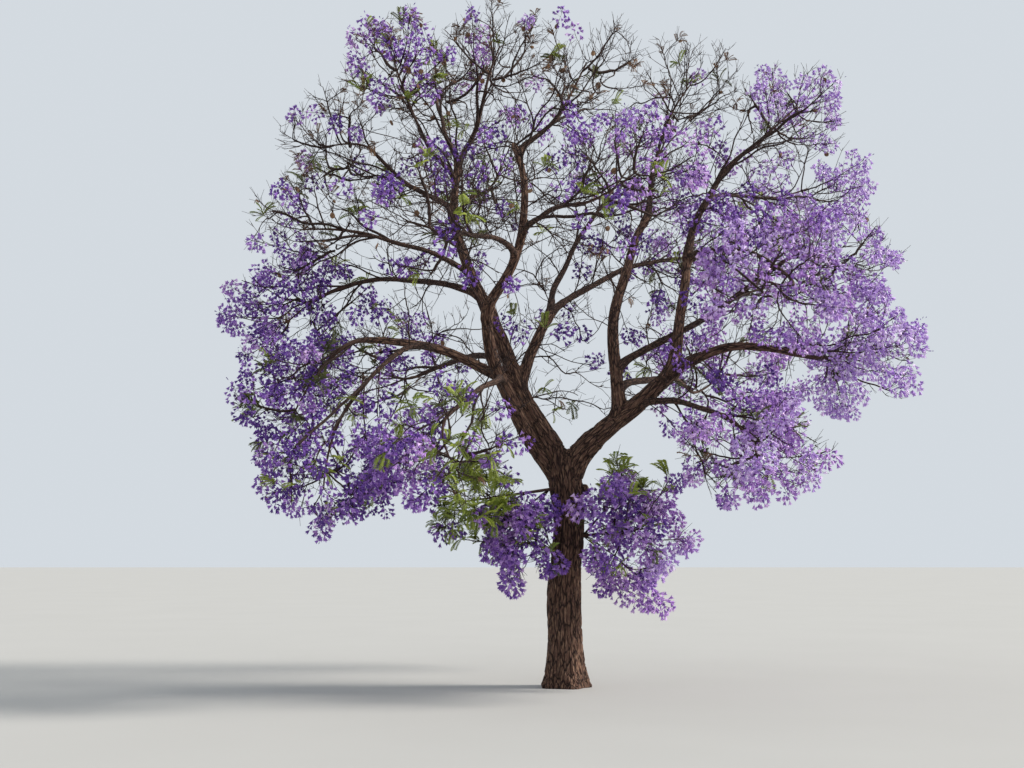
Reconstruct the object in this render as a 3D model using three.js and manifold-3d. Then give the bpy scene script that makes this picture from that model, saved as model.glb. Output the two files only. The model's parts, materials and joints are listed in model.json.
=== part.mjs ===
// A jacaranda tree in full blossom, rooted in level ground.
// Lengths are millimetres and angles degrees. +Z is up and the ground is at z = 0.
// A heading turns from +X towards +Y, and a rise is measured up from level.
import * as THREE from "three";
import { mergeVertices } from "three/addons/utils/BufferGeometryUtils.js";
import Module from "manifold-3d";

const wasm = await Module();
wasm.setup();
const { Manifold, Mesh } = wasm;

// The trunk, from the cut at the ground to its fork.
const TRUNK_HEIGHT = 2120;
const TRUNK_RADIUS_LOW = 158;
const TRUNK_RADIUS_WAIST = 141;
const TRUNK_RADIUS_FORK = 166;
const TRUNK_BOW = 44;
const TRUNK_BOW_HEIGHT = 1500;
const TRUNK_BOW_SPREAD = 360;
const ROOT_FLARE = 74;
const ROOT_FLARE_HEIGHT = 190;
const ROOT_LOBES = 5;
const ROOT_LOBE_DEPTH = 26;
const BUTTRESS_HEADING = 188;
const BUTTRESS_HEIGHT = 830;
const BUTTRESS_DEPTH = 15;
const BUTTRESS_SPREAD = 240;
const FORK_FLATNESS = 0.2;
const FORK_TOP_SHARE = 0.62;
const TRUNK_SIDES = 15;
const TRUNK_ROWS = [0, 0.04, 0.1, 0.19, 0.3, 0.4, 0.5, 0.6, 0.7, 0.8, 0.9, 0.97, 1];
const STUB_HEIGHT = 1760;
const STUB_HEADING = 352;
const STUB_RISE = 24;
const STUB_REACH = 232;
const STUB_RADIUS = 44;

// The crown's limbs. Each starts at a share of its parent's length (at), and bows upwards (arch)
// and sideways (sway) by a share of its reach. It tapers from its butt to its tip radius.
const LIMBS = [
  { name: "limb_right", from: "trunk", at: 0.97, heading: 347, rise: 40, reach: 1430,
    arch: 0.0, sway: 0.0, butt: 102, tip: 68 },
  { name: "leader_left", from: "trunk", at: 0.95, heading: 169, rise: 65, reach: 1800,
    arch: -0.02, sway: 0.04, butt: 104, tip: 60 },
  { name: "stem_front", from: "trunk", at: 0.92, heading: 219, rise: 59, reach: 1850,
    arch: -0.04, sway: -0.12, butt: 82, tip: 48 },
  { name: "leader_crown", from: "leader_left", at: 0.98, heading: 169, rise: 79, reach: 1520,
    arch: -0.1, sway: 0.02, butt: 55, tip: 33 },
  { name: "stem_mid", from: "leader_left", at: 0.5, heading: 53, rise: 56, reach: 1000,
    arch: 0.03, sway: 0.0, butt: 58, tip: 42 },
  { name: "riser_front", from: "stem_front", at: 0.98, heading: 337, rise: 80, reach: 1540,
    arch: -0.16, sway: 0.0, butt: 45, tip: 28 },
  { name: "riser_centre", from: "limb_right", at: 0.5, heading: 58, rise: 72, reach: 2230,
    arch: 0.14, sway: 0.02, butt: 62, tip: 34 },
  { name: "riser_right", from: "limb_right", at: 0.95, heading: 50, rise: 76, reach: 1310,
    arch: 0.02, sway: -0.02, butt: 56, tip: 38 },
  { name: "arch_right", from: "limb_right", at: 0.98, heading: 335, rise: 5, reach: 1080,
    arch: 0.12, sway: 0.04, butt: 50, tip: 28 },
  { name: "leader_top", from: "leader_crown", at: 0.98, heading: 344, rise: 69, reach: 760,
    arch: -0.04, sway: 0.02, butt: 28, tip: 17 },
  { name: "bough_crown_back", from: "leader_crown", at: 0.98, heading: 121, rise: 58, reach: 900,
    arch: 0.06, sway: 0.08, butt: 25, tip: 16 },
  { name: "bough_crown_left", from: "leader_crown", at: 0.9, heading: 232, rise: 32, reach: 660,
    arch: -0.14, sway: 0.04, butt: 25, tip: 16 },
  { name: "bough_left_high", from: "leader_crown", at: 0.7, heading: 184, rise: 34, reach: 950,
    arch: -0.08, sway: 0.05, butt: 28, tip: 17 },
  { name: "bough_back_high", from: "leader_crown", at: 0.58, heading: 79, rise: 27, reach: 1300,
    arch: 0.03, sway: 0.03, butt: 28, tip: 17 },
  { name: "bough_left_upper", from: "leader_crown", at: 0.25, heading: 204, rise: 14, reach: 1200,
    arch: 0.03, sway: 0.03, butt: 28, tip: 17 },
  { name: "bough_left_mid", from: "leader_crown", at: 0.08, heading: 168, rise: 6, reach: 1420,
    arch: 0.09, sway: 0.0, butt: 34, tip: 20 },
  { name: "bough_crown_mid", from: "riser_front", at: 0.98, heading: 14, rise: 40, reach: 620,
    arch: -0.1, sway: -0.05, butt: 25, tip: 16 },
  { name: "bough_front_high", from: "riser_front", at: 0.35, heading: 236, rise: -2, reach: 1180,
    arch: 0.04, sway: 0.03, butt: 28, tip: 17 },
  { name: "bough_front_mid", from: "riser_front", at: 0.47, heading: 297, rise: 1, reach: 1080,
    arch: 0.04, sway: -0.04, butt: 28, tip: 17 },
  { name: "bough_left_low", from: "leader_left", at: 0.5, heading: 210, rise: 12, reach: 1650,
    arch: 0.09, sway: -0.08, butt: 54, tip: 28 },
  { name: "bough_left_drop", from: "bough_left_low", at: 0.55, heading: 227, rise: -32, reach: 1200,
    arch: 0.16, sway: 0.12, butt: 29, tip: 17 },
  { name: "bough_front_left", from: "stem_front", at: 0.6, heading: 253, rise: -18, reach: 1440,
    arch: 0.06, sway: 0.08, butt: 34, tip: 19 },
  { name: "bough_back_left", from: "leader_left", at: 0.68, heading: 124, rise: 0, reach: 1680,
    arch: 0.05, sway: -0.03, butt: 36, tip: 20 },
  { name: "bough_mid_left", from: "stem_mid", at: 0.97, heading: 50, rise: 57, reach: 1280,
    arch: -0.05, sway: 0.14, butt: 37, tip: 21 },
  { name: "bough_mid_right", from: "stem_mid", at: 0.98, heading: 38, rise: 24, reach: 1850,
    arch: 0.05, sway: 0.02, butt: 38, tip: 21 },
  { name: "bough_riser_top", from: "riser_centre", at: 0.98, heading: 345, rise: 80, reach: 820,
    arch: 0.04, sway: 0.02, butt: 30, tip: 17 },
  { name: "bough_fork_low", from: "riser_centre", at: 0.2, heading: 353, rise: 31, reach: 1840,
    arch: -0.02, sway: 0.04, butt: 38, tip: 21 },
  { name: "bough_back_right", from: "riser_centre", at: 0.12, heading: 61, rise: 4, reach: 1880,
    arch: 0.05, sway: -0.05, butt: 37, tip: 21 },
  { name: "bough_hang_right", from: "limb_right", at: 0.66, heading: 306, rise: -12, reach: 1220,
    arch: 0.05, sway: 0.02, butt: 35, tip: 19 },
  { name: "bough_upper_right", from: "riser_right", at: 0.97, heading: 8, rise: 59, reach: 1160,
    arch: 0.09, sway: 0.0, butt: 38, tip: 22 },
  { name: "bough_right_arch", from: "riser_right", at: 0.93, heading: 311, rise: -18, reach: 1230,
    arch: 0.1, sway: 0.02, butt: 30, tip: 18 },
  { name: "bough_right_back", from: "bough_upper_right", at: 0.45, heading: 50, rise: 12,
    reach: 1000, arch: 0.04, sway: 0.03, butt: 26, tip: 16 },
];

// The foliage masses. Each stem grows from a limb's tip, or from the trunk at a share of its
// height (at), towards a centre that lies a reach away, inside an egg-shaped space of its own.
const MASSES = [
  { name: "mass_top", from: "leader_top", heading: 352, rise: 72, reach: 390,
    width: 1240, depth: 1400, height: 1070, sprays: 17, sprayLength: 500 },
  { name: "mass_top_back", from: "bough_crown_back", heading: 57, rise: 39, reach: 530,
    width: 1260, depth: 1400, height: 1180, sprays: 15, sprayLength: 540 },
  { name: "mass_top_left", from: "bough_crown_left", heading: 232, rise: 57, reach: 580,
    width: 1120, depth: 1400, height: 1120, sprays: 17, sprayLength: 500 },
  { name: "mass_top_centre", from: "bough_crown_mid", heading: 21, rise: 63, reach: 440,
    width: 1260, depth: 1400, height: 1100, sprays: 17, sprayLength: 510 },
  { name: "mass_top_right", from: "bough_riser_top", heading: 8, rise: 61, reach: 530,
    width: 1300, depth: 1500, height: 1180, sprays: 17, sprayLength: 520 },
  { name: "mass_high_left", from: "bough_left_high", heading: 185, rise: 8, reach: 350,
    width: 1240, depth: 1500, height: 1240, sprays: 17, sprayLength: 520 },
  { name: "mass_high_right", from: "bough_upper_right", heading: 15, rise: 42, reach: 600,
    width: 1210, depth: 1400, height: 1180, sprays: 16, sprayLength: 500 },
  { name: "mass_upper_left", from: "bough_left_upper", heading: 177, rise: 3, reach: 440,
    width: 1340, depth: 1500, height: 1260, sprays: 18, sprayLength: 530 },
  { name: "mass_upper_back", from: "bough_back_high", heading: 71, rise: 34, reach: 740,
    width: 1640, depth: 1500, height: 1480, sprays: 18, sprayLength: 600 },
  { name: "mass_upper_front_left", from: "bough_front_high", heading: 262, rise: 3, reach: 360,
    width: 1250, depth: 1400, height: 1250, sprays: 17, sprayLength: 530 },
  { name: "mass_upper_front_right", from: "bough_front_mid", heading: 318, rise: 16, reach: 520,
    width: 1250, depth: 1400, height: 1180, sprays: 17, sprayLength: 530 },
  { name: "mass_rear_high", from: "bough_mid_left", heading: 40, rise: 50, reach: 720,
    width: 1500, depth: 1500, height: 1400, sprays: 17, sprayLength: 590 },
  { name: "mass_far_left", from: "bough_left_mid", heading: 172, rise: -31, reach: 550,
    width: 1460, depth: 1600, height: 1440, sprays: 20, sprayLength: 560 },
  { name: "mass_far_right", from: "arch_right", heading: 22, rise: 2, reach: 670,
    width: 1300, depth: 1500, height: 1200, sprays: 20, sprayLength: 530 },
  { name: "mass_right_upper", from: "bough_fork_low", heading: 26, rise: 1, reach: 550,
    width: 1420, depth: 1500, height: 1300, sprays: 19, sprayLength: 560 },
  { name: "mass_right_front", from: "bough_right_arch", heading: 248, rise: -16, reach: 600,
    width: 1300, depth: 1400, height: 1140, sprays: 18, sprayLength: 520 },
  { name: "mass_right_back", from: "bough_right_back", heading: 27, rise: 15, reach: 550,
    width: 1440, depth: 1600, height: 1400, sprays: 19, sprayLength: 560 },
  { name: "mass_rear_right", from: "bough_mid_right", heading: 38, rise: 4, reach: 700,
    width: 1700, depth: 1600, height: 1450, sprays: 18, sprayLength: 620 },
  { name: "mass_left_low", from: "bough_left_low", heading: 179, rise: -47, reach: 760,
    width: 1320, depth: 1500, height: 1240, sprays: 20, sprayLength: 530 },
  { name: "mass_left_drop", from: "bough_left_drop", heading: 226, rise: -71, reach: 650,
    width: 1320, depth: 1400, height: 960, sprays: 19, sprayLength: 470 },
  { name: "mass_front_left", from: "bough_front_left", heading: 271, rise: -44, reach: 510,
    width: 1300, depth: 1400, height: 1040, sprays: 19, sprayLength: 480 },
  { name: "mass_back_left", from: "bough_back_left", heading: 130, rise: 8, reach: 600,
    width: 1900, depth: 1700, height: 1560, sprays: 20, sprayLength: 630 },
  { name: "mass_back_right", from: "bough_back_right", heading: 47, rise: 22, reach: 600,
    width: 1860, depth: 1700, height: 1540, sprays: 20, sprayLength: 630 },
  { name: "mass_hang_right", from: "bough_hang_right", heading: 14, rise: -52, reach: 330,
    width: 1400, depth: 1500, height: 1000, sprays: 19, sprayLength: 490 },
  { name: "mass_trunk_right", from: "trunk", at: 0.66, heading: 325, rise: 5, reach: 590,
    width: 1040, depth: 950, height: 1480, sprays: 17, sprayLength: 400 },
  { name: "mass_trunk_left", from: "trunk", at: 0.6, heading: 217, rise: 9, reach: 450,
    width: 800, depth: 860, height: 940, sprays: 14, sprayLength: 350 },
  { name: "mass_low_left", from: "trunk", at: 0.87, heading: 215, rise: -8, reach: 940,
    width: 880, depth: 900, height: 880, sprays: 13, sprayLength: 360 },
];

// The masses that hold more leaf than blossom.
const LEAFY_MASSES = ["mass_low_left", "mass_front_left", "mass_hang_right"];

// How twigs and sprays grow in a mass.
const STEM_OVERSHOOT = 0.2;
const STEM_BUTT_SHARE = 0.86;
const STEM_TIP_RADIUS = 7;
const TRUNK_STEM_RADIUS = 15;
const TRUNK_STEM_SINK = 22;
const STEM_SIDES = 5;
const STEM_STEPS = 4;
const STEM_NODES = 12;
const STEM_BARE = 0.2;
const TWIG_RADIUS = 10;
const TWIG_TIP_RADIUS = 5;
const SPRAY_PLUMPNESS = 0.355;
const SPRAY_FLATNESS = 0.8;
const SPRAY_WIDEST = 0.46;
const SPRAY_SPACING = 0.6;
const SPRAY_FORWARD = 0.3;
const SPRAY_LIFT = 0.28;
const SPACE_SHARES = [1.0, 0.9, 0.8, 0.7, 0.6, 0.5, 0.4];
const GOLDEN_TURN = 137.508;

// Clear gaps that parts keep from each other.
const TOUCH_GAP = 0.35;
const SPACE_MARGIN = 6;
const LIMB_MARGIN = 14;

const LIMB_CROOK = 0.012;
const PATH_SAMPLES = 24;
const SIMPLIFY_WITHIN = 2;
const LIMB_SIMPLIFY_WITHIN = 0.1;
const BARK_COLOR = 0x5b4a3c;
const BLOSSOM_COLOR = 0x9a83c8;
const LEAFY_COLOR = 0x8a88a0;

const UP = new THREE.Vector3(0, 0, 1);
const radians = THREE.MathUtils.degToRad;

function seededRandom(seed) {
  let state = seed >>> 0;
  return () => {
    state = (Math.imul(state, 1664525) + 1013904223) >>> 0;
    return state / 4294967296;
  };
}

// The unit vectors along a heading and rise, to its side, and upwards across it.
function directions(heading, rise) {
  const h = radians(heading);
  const r = radians(rise);
  return {
    along: new THREE.Vector3(Math.cos(h) * Math.cos(r), Math.sin(h) * Math.cos(r), Math.sin(r)),
    side: new THREE.Vector3(-Math.sin(h), Math.cos(h), 0),
    up: new THREE.Vector3(-Math.cos(h) * Math.sin(r), -Math.sin(h) * Math.sin(r), Math.cos(r)),
  };
}

function tangentOf(pointAt, t) {
  const step = 1e-4;
  const before = pointAt(Math.max(0, t - step));
  return pointAt(Math.min(1, t + step)).sub(before).normalize();
}

// Rows of a round section along a path, each with its centre and two axes across it.
function rowsAlong(pointAt, sideways, shares, radiusAt) {
  return shares.map((t) => {
    const tangent = tangentOf(pointAt, t);
    const across = sideways.clone().addScaledVector(tangent, -sideways.dot(tangent)).normalize();
    const over = across.clone().cross(tangent);
    return { centre: pointAt(t), across, over, radius: radiusAt(t) };
  });
}

// A closed solid through those rows: a cylinder whose rings are moved onto them. A ring with no
// radius closes to a point.
function skinOf(rows, sides) {
  const steps = rows.length - 1;
  const geometry = new THREE.CylinderGeometry(1, 1, 1, sides, steps);
  const position = geometry.getAttribute("position");
  const point = new THREE.Vector3();
  for (let i = 0; i < position.count; i += 1) {
    point.fromBufferAttribute(position, i);
    const row = rows[Math.round((point.y + 0.5) * steps)];
    const angle = Math.atan2(point.z, point.x);
    const size = typeof row.radius === "function" ? row.radius(angle) : row.radius;
    const x = point.x * size;
    const z = point.z * size;
    point.copy(row.centre).addScaledVector(row.across, x).addScaledVector(row.over, z);
    position.setXYZ(i, point.x, point.y, point.z);
  }
  return solidOf(geometry);
}

function solidOf(geometry) {
  geometry.deleteAttribute("normal");
  geometry.deleteAttribute("uv");
  const merged = mergeVertices(geometry, 1e-3);
  const corners = merged.index.array;
  const faces = [];
  for (let i = 0; i < corners.length; i += 3) {
    const [a, b, c] = corners.slice(i, i + 3);
    if (a !== b && b !== c && c !== a) faces.push(a, b, c);
  }
  return new Manifold(
    new Mesh({
      numProp: 3,
      vertProperties: new Float32Array(merged.getAttribute("position").array),
      triVerts: new Uint32Array(faces),
    }),
  );
}

function geometryOf(solid) {
  const mesh = solid.getMesh();
  const geometry = new THREE.BufferGeometry();
  geometry.setAttribute("position", new THREE.BufferAttribute(mesh.vertProperties, 3));
  geometry.setIndex(new THREE.BufferAttribute(mesh.triVerts, 1));
  geometry.computeVertexNormals();
  return geometry;
}

function largestBody(solid) {
  const bodies = solid.decompose();
  return bodies.reduce((best, body) => (body.volume() > best.volume() ? body : best));
}

// The trunk leans a little to the right of its foot at chest height and back at the fork.
function trunkPoint(t) {
  const z = t * TRUNK_HEIGHT;
  const bow = TRUNK_BOW * Math.exp(-(((z - TRUNK_BOW_HEIGHT) / TRUNK_BOW_SPREAD) ** 2));
  return new THREE.Vector3(bow, 0, z);
}

function trunkRadius(t) {
  const z = t * TRUNK_HEIGHT;
  const waist = Math.min(1, z / TRUNK_BOW_HEIGHT);
  const swell = Math.max(0, (z - TRUNK_BOW_HEIGHT) / (TRUNK_HEIGHT - TRUNK_BOW_HEIGHT));
  const shaft = TRUNK_RADIUS_LOW + (TRUNK_RADIUS_WAIST - TRUNK_RADIUS_LOW) * waist;
  const fork = (TRUNK_RADIUS_FORK - TRUNK_RADIUS_WAIST) * swell;
  return shaft + fork + ROOT_FLARE * Math.exp(-z / ROOT_FLARE_HEIGHT);
}

// The root lobes, the low buttress and the fork, which is wider than deep, change the radius
// round the trunk.
function trunkRadiusRound(t, angle) {
  const z = t * TRUNK_HEIGHT;
  const lobe = ROOT_LOBE_DEPTH * Math.exp(-z / ROOT_FLARE_HEIGHT) * Math.cos(ROOT_LOBES * angle);
  const facing = Math.max(0, Math.cos(angle - radians(BUTTRESS_HEADING)));
  const level = Math.exp(-(((z - BUTTRESS_HEIGHT) / BUTTRESS_SPREAD) ** 2));
  const buttress = BUTTRESS_DEPTH * facing * facing * level;
  const swell = Math.max(0, (z - TRUNK_BOW_HEIGHT) / (TRUNK_HEIGHT - TRUNK_BOW_HEIGHT));
  const flattened = 1 - FORK_FLATNESS * swell * Math.sin(angle) ** 2;
  return trunkRadius(t) * flattened + lobe + buttress;
}

function trunkSolid(extra) {
  const rows = TRUNK_ROWS.map((t) => ({
    centre: trunkPoint(t).addScaledVector(UP, t === 1 ? extra : 0),
    across: new THREE.Vector3(1, 0, 0),
    over: new THREE.Vector3(0, -1, 0),
    radius: (angle) => trunkRadiusRound(t, -angle) * (t === 1 ? FORK_TOP_SHARE : 1) + extra,
  }));
  const shaft = skinOf(rows, TRUNK_SIDES);
  const { along, side } = directions(STUB_HEADING, STUB_RISE);
  const start = trunkPoint(STUB_HEIGHT / TRUNK_HEIGHT);
  const stubPoint = (t) => start.clone().addScaledVector(along, t * (STUB_REACH + extra));
  const stubRadius = (t) => STUB_RADIUS * (1.25 - 0.25 * t) + extra;
  return shaft.add(skinOf(rowsAlong(stubPoint, side, [0, 1], stubRadius), 8));
}

// A limb's centreline: a bowed curve with a slight crook of its own.
function limbPath(limb, index, start) {
  const random = seededRandom(911 + index * 37);
  const { along, side, up } = directions(limb.heading, limb.rise);
  const end = start.clone().addScaledVector(along, limb.reach);
  const control = start.clone().add(end).multiplyScalar(0.5);
  control.addScaledVector(up, limb.arch * limb.reach * 2);
  control.addScaledVector(side, limb.sway * limb.reach * 2);
  const phaseSide = random() * 360;
  const phaseUp = random() * 360;
  return (t) => {
    const point = start.clone().multiplyScalar((1 - t) ** 2);
    point.addScaledVector(control, 2 * t * (1 - t)).addScaledVector(end, t * t);
    const crook = LIMB_CROOK * limb.reach * Math.sin(Math.PI * t) ** 2;
    point.addScaledVector(side, crook * Math.sin(radians(540 * t + phaseSide)));
    return point.addScaledVector(up, crook * Math.sin(radians(400 * t + phaseUp)));
  };
}

function limbRadius(limb, t) {
  return limb.butt + (limb.tip - limb.butt) * t;
}

function limbSolid(limb, extra) {
  const stout = limb.butt > 45;
  const steps = stout ? 6 : 5;
  const shares = Array.from({ length: steps + 1 }, (_, i) => i / steps);
  const rows = rowsAlong(limb.pointAt, limb.side, shares, (t) => limbRadius(limb, t) + extra);
  rows[0].centre.addScaledVector(tangentOf(limb.pointAt, 0), -extra);
  rows[steps].centre.addScaledVector(tangentOf(limb.pointAt, 1), extra);
  return skinOf(rows, stout ? 8 : 6);
}

// A mass's stem leaves its limb's tip in line with it, then turns to the mass's centre.
function stemPath(start, heading, centre) {
  const end = start.clone().lerp(centre, 1 + STEM_OVERSHOOT);
  const control = start.clone().addScaledVector(heading, start.distanceTo(end) * 0.42);
  return (t) => {
    const point = start.clone().multiplyScalar((1 - t) ** 2);
    return point.addScaledVector(control, 2 * t * (1 - t)).addScaledVector(end, t * t);
  };
}

// How far a mass's space reaches from its centre in one direction.
function reachTowards(mass, direction) {
  const { x, y, z } = direction;
  const { half } = mass;
  return 1 / Math.sqrt((x / half.x) ** 2 + (y / half.y) ** 2 + (z / half.z) ** 2);
}

// The planes between a mass and each neighbour whose space would cross its own.
function wallsOf(mass, masses) {
  const walls = [];
  for (const other of masses) {
    if (other === mass) continue;
    const between = other.centre.clone().sub(mass.centre);
    const distance = between.length();
    between.normalize();
    const own = reachTowards(mass, between);
    const theirs = reachTowards(other, between);
    if (own + theirs < distance) continue;
    const share = (distance * own) / (own + theirs);
    walls.push({ normal: between, limit: mass.centre.dot(between) + share - SPACE_MARGIN });
  }
  return walls;
}

function isInSpace(mass, point) {
  const local = point.clone().sub(mass.centre).divide(mass.half);
  if (local.lengthSq() > 1) return false;
  return mass.walls.every((wall) => wall.normal.dot(point) <= wall.limit);
}

function distanceToSegment(point, from, to) {
  const line = to.clone().sub(from);
  const share = point.clone().sub(from).dot(line) / line.lengthSq();
  return point.distanceTo(from.clone().addScaledVector(line, Math.min(1, Math.max(0, share))));
}

// Whether a straight piece keeps clear of the limbs and the other masses' stems near it.
function isClear(from, to, radiusAt, obstacles, owner) {
  const samples = 9;
  for (let i = 0; i < samples; i += 1) {
    const t = i / (samples - 1);
    const point = from.clone().lerp(to, t);
    const reach = radiusAt(t) + LIMB_MARGIN;
    for (const part of obstacles) {
      if (part.owner === owner) continue;
      if (distanceToSegment(point, part.from, part.to) < part.radius + reach) return false;
    }
  }
  return true;
}

// The three corners of a spray's widest ring.
function sprayCorners(middle, side, over, radius) {
  return [0, 120, 240].map((angle) => {
    const across = radius * Math.sin(radians(angle));
    const above = radius * SPRAY_FLATNESS * Math.cos(radians(angle));
    return middle.clone().addScaledVector(side, across).addScaledVector(over, above);
  });
}

// Places one spray so that its tip reaches the space's edge, or as near to it as is free.
function placeSpray(mass, outward, size, others, obstacles) {
  const along = outward.clone().addScaledVector(mass.heading, SPRAY_FORWARD);
  along.addScaledVector(UP, SPRAY_LIFT).normalize();
  const side = along.clone().cross(UP).normalize();
  const over = side.clone().cross(along).normalize();
  const length = mass.sprayLength * size;
  const radius = length * SPRAY_PLUMPNESS;
  // A spray swells from its root to its widest place and narrows to a point.
  const radiusAt = (t) => radius * Math.min(t / SPRAY_WIDEST, (1 - t) / (1 - SPRAY_WIDEST));
  for (const share of SPACE_SHARES) {
    const reach = reachTowards(mass, outward) * share * 0.995;
    const tip = mass.centre.clone().addScaledVector(outward, reach);
    const root = tip.clone().addScaledVector(along, -length);
    const middle = root.clone().lerp(tip, SPRAY_WIDEST);
    const corners = [root, tip, ...sprayCorners(middle, side, over, radius)];
    const inside = corners.every((corner) => isInSpace(mass, corner));
    const spacing = length * SPRAY_SPACING;
    const apart = others.every((other) => other.middle.distanceTo(middle) > spacing);
    if (inside && apart && isClear(root, tip, radiusAt, obstacles, null)) {
      return { root, tip, middle, along, side, over, radius };
    }
  }
  return null;
}

// Sprays are dealt evenly round the mass's centre, each turned on by the golden angle.
function dealSprays(mass, obstacles) {
  const random = seededRandom(mass.seed);
  const turn = random() * 360;
  const sprays = [];
  for (let i = 0; i < mass.sprays; i += 1) {
    const level = 1 - (2 * (i + 0.5)) / mass.sprays + (random() - 0.5) * 0.08;
    const z = Math.min(0.97, Math.max(-0.97, level));
    const angle = radians(turn + i * GOLDEN_TURN + (random() - 0.5) * 24);
    const flat = Math.sqrt(1 - z * z);
    const outward = new THREE.Vector3(flat * Math.cos(angle), flat * Math.sin(angle), z);
    const size = 0.88 + 0.26 * random();
    const spray = placeSpray(mass, outward, size, sprays, obstacles);
    if (spray) sprays.push(spray);
  }
  return sprays;
}

// Twigs grow from the stem to the nearest spray, then on from there, until none is left.
function growTwigs(mass, sprays, obstacles) {
  const nodes = [];
  for (let i = 1; i <= STEM_NODES; i += 1) {
    const t = STEM_BARE + ((0.97 - STEM_BARE) * i) / STEM_NODES;
    const along = tangentOf(mass.stemAt, t);
    nodes.push({ point: mass.stemAt(t), along, radius: mass.stemRadius(t) });
  }
  const twigs = [];
  const waiting = [...sprays];
  while (waiting.length > 0) {
    let best = null;
    for (const spray of waiting) {
      for (const node of nodes) {
        const way = spray.root.clone().sub(node.point);
        const distance = way.length();
        const turning = 1 - way.dot(node.along) / Math.max(distance, 1);
        const cost = distance * (1 + 0.45 * turning);
        if (!best || cost < best.cost) best = { spray, node, cost };
      }
    }
    const { spray, node } = best;
    waiting.splice(waiting.indexOf(spray), 1);
    const butt = Math.max(TWIG_TIP_RADIUS, Math.min(TWIG_RADIUS, node.radius * 0.6));
    const radiusAt = (t) => butt + (TWIG_TIP_RADIUS - butt) * t;
    if (!isClear(node.point, spray.root, radiusAt, obstacles, mass.name)) continue;
    twigs.push({ from: node.point, butt, spray });
    const way = spray.root.clone().sub(node.point).normalize();
    for (const share of [0.45, 0.8]) {
      const point = node.point.clone().lerp(spray.root, share);
      nodes.push({ point, along: way, radius: radiusAt(share) });
    }
  }
  return twigs;
}

// A three-sided twig that runs on into its spray as one body.
function sprigSolid({ from, butt, spray }) {
  const way = spray.root.clone().sub(from).normalize();
  const turned = (share) => {
    const whole = new THREE.Quaternion().setFromUnitVectors(spray.along, way);
    return new THREE.Quaternion().slerp(whole, share);
  };
  const row = (centre, radius, share, flatness) => {
    const over = spray.over.clone().applyQuaternion(turned(share));
    const across = spray.side.clone().applyQuaternion(turned(share));
    return { centre, across, over: over.multiplyScalar(flatness), radius };
  };
  const rows = [
    row(from, butt, 1, 1),
    row(spray.root, TWIG_TIP_RADIUS, 0.5, 1),
    row(spray.middle, spray.radius, 0, SPRAY_FLATNESS),
    row(spray.tip, 0, 0, 1),
  ];
  return skinOf(rows, 3);
}

function massSolid(mass, obstacles, trunkSkin) {
  const steps = Array.from({ length: STEM_STEPS + 1 }, (_, i) => i / STEM_STEPS);
  const rows = rowsAlong(mass.stemAt, mass.side, steps, mass.stemRadius);
  let stem = skinOf(rows, STEM_SIDES);
  if (mass.from === "trunk") stem = largestBody(stem.subtract(trunkSkin));
  const reach = mass.half.length() + mass.reach;
  const near = obstacles.filter((part) => part.from.distanceTo(mass.centre) < reach);
  const twigs = growTwigs(mass, dealSprays(mass, near), near);
  const whole = Manifold.union([stem, ...twigs.map(sprigSolid)]);
  return largestBody(whole.simplify(SIMPLIFY_WITHIN));
}

const limbNamed = new Map();
LIMBS.forEach((size, index) => {
  const limb = { ...size, side: directions(size.heading, size.rise).side };
  const carrierAt = size.from === "trunk" ? trunkPoint : limbNamed.get(size.from).pointAt;
  limb.pointAt = limbPath(size, index, carrierAt(size.at));
  limbNamed.set(limb.name, limb);
});

const masses = MASSES.map((size, index) => {
  const mass = { ...size, seed: 40503 + index * 7919 };
  const { along, side } = directions(size.heading, size.rise);
  mass.side = side;
  mass.half = new THREE.Vector3(size.width, size.depth, size.height).multiplyScalar(0.5);
  if (size.from === "trunk") {
    const out = trunkRadius(size.at) - TRUNK_STEM_SINK;
    const level = directions(size.heading, 0).along;
    mass.start = trunkPoint(size.at).addScaledVector(level, out);
    mass.heading = along;
    mass.butt = TRUNK_STEM_RADIUS;
  } else {
    const limb = limbNamed.get(size.from);
    mass.heading = tangentOf(limb.pointAt, 1);
    mass.start = limb.pointAt(1).addScaledVector(mass.heading, TOUCH_GAP);
    mass.butt = limb.tip * STEM_BUTT_SHARE;
  }
  mass.centre = mass.start.clone().addScaledVector(along, size.reach);
  mass.stemAt = stemPath(mass.start, mass.heading, mass.centre);
  mass.stemRadius = (t) => mass.butt + (STEM_TIP_RADIUS - mass.butt) * t;
  return mass;
});

// Everything that twigs and sprays keep clear of: trunk, limbs and the masses' stems.
const obstacles = [];
function addObstacles(owner, pointAt, radiusAt, samples) {
  for (let i = 0; i < samples; i += 1) {
    const radius = Math.max(radiusAt(i / samples), radiusAt((i + 1) / samples));
    obstacles.push({ owner, from: pointAt(i / samples), to: pointAt((i + 1) / samples), radius });
  }
}
addObstacles("trunk", trunkPoint, (t) => trunkRadius(t) + BUTTRESS_DEPTH, PATH_SAMPLES);
for (const limb of limbNamed.values()) {
  addObstacles(limb.name, limb.pointAt, (t) => limbRadius(limb, t), PATH_SAMPLES);
}
for (const mass of masses) {
  mass.walls = wallsOf(mass, masses);
  addObstacles(mass.name, mass.stemAt, mass.stemRadius, STEM_STEPS);
}

const bark = new THREE.MeshStandardMaterial({ color: BARK_COLOR, roughness: 0.9, metalness: 0 });
const blossom = new THREE.MeshStandardMaterial({
  color: BLOSSOM_COLOR,
  roughness: 0.8,
  metalness: 0,
});
const leafy = new THREE.MeshStandardMaterial({ color: LEAFY_COLOR, roughness: 0.8, metalness: 0 });

const tree = new THREE.Group();
tree.name = "jacaranda_tree";

function addPart(name, solid, material) {
  const mesh = new THREE.Mesh(geometryOf(solid), material);
  mesh.name = name;
  tree.add(mesh);
}

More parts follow.
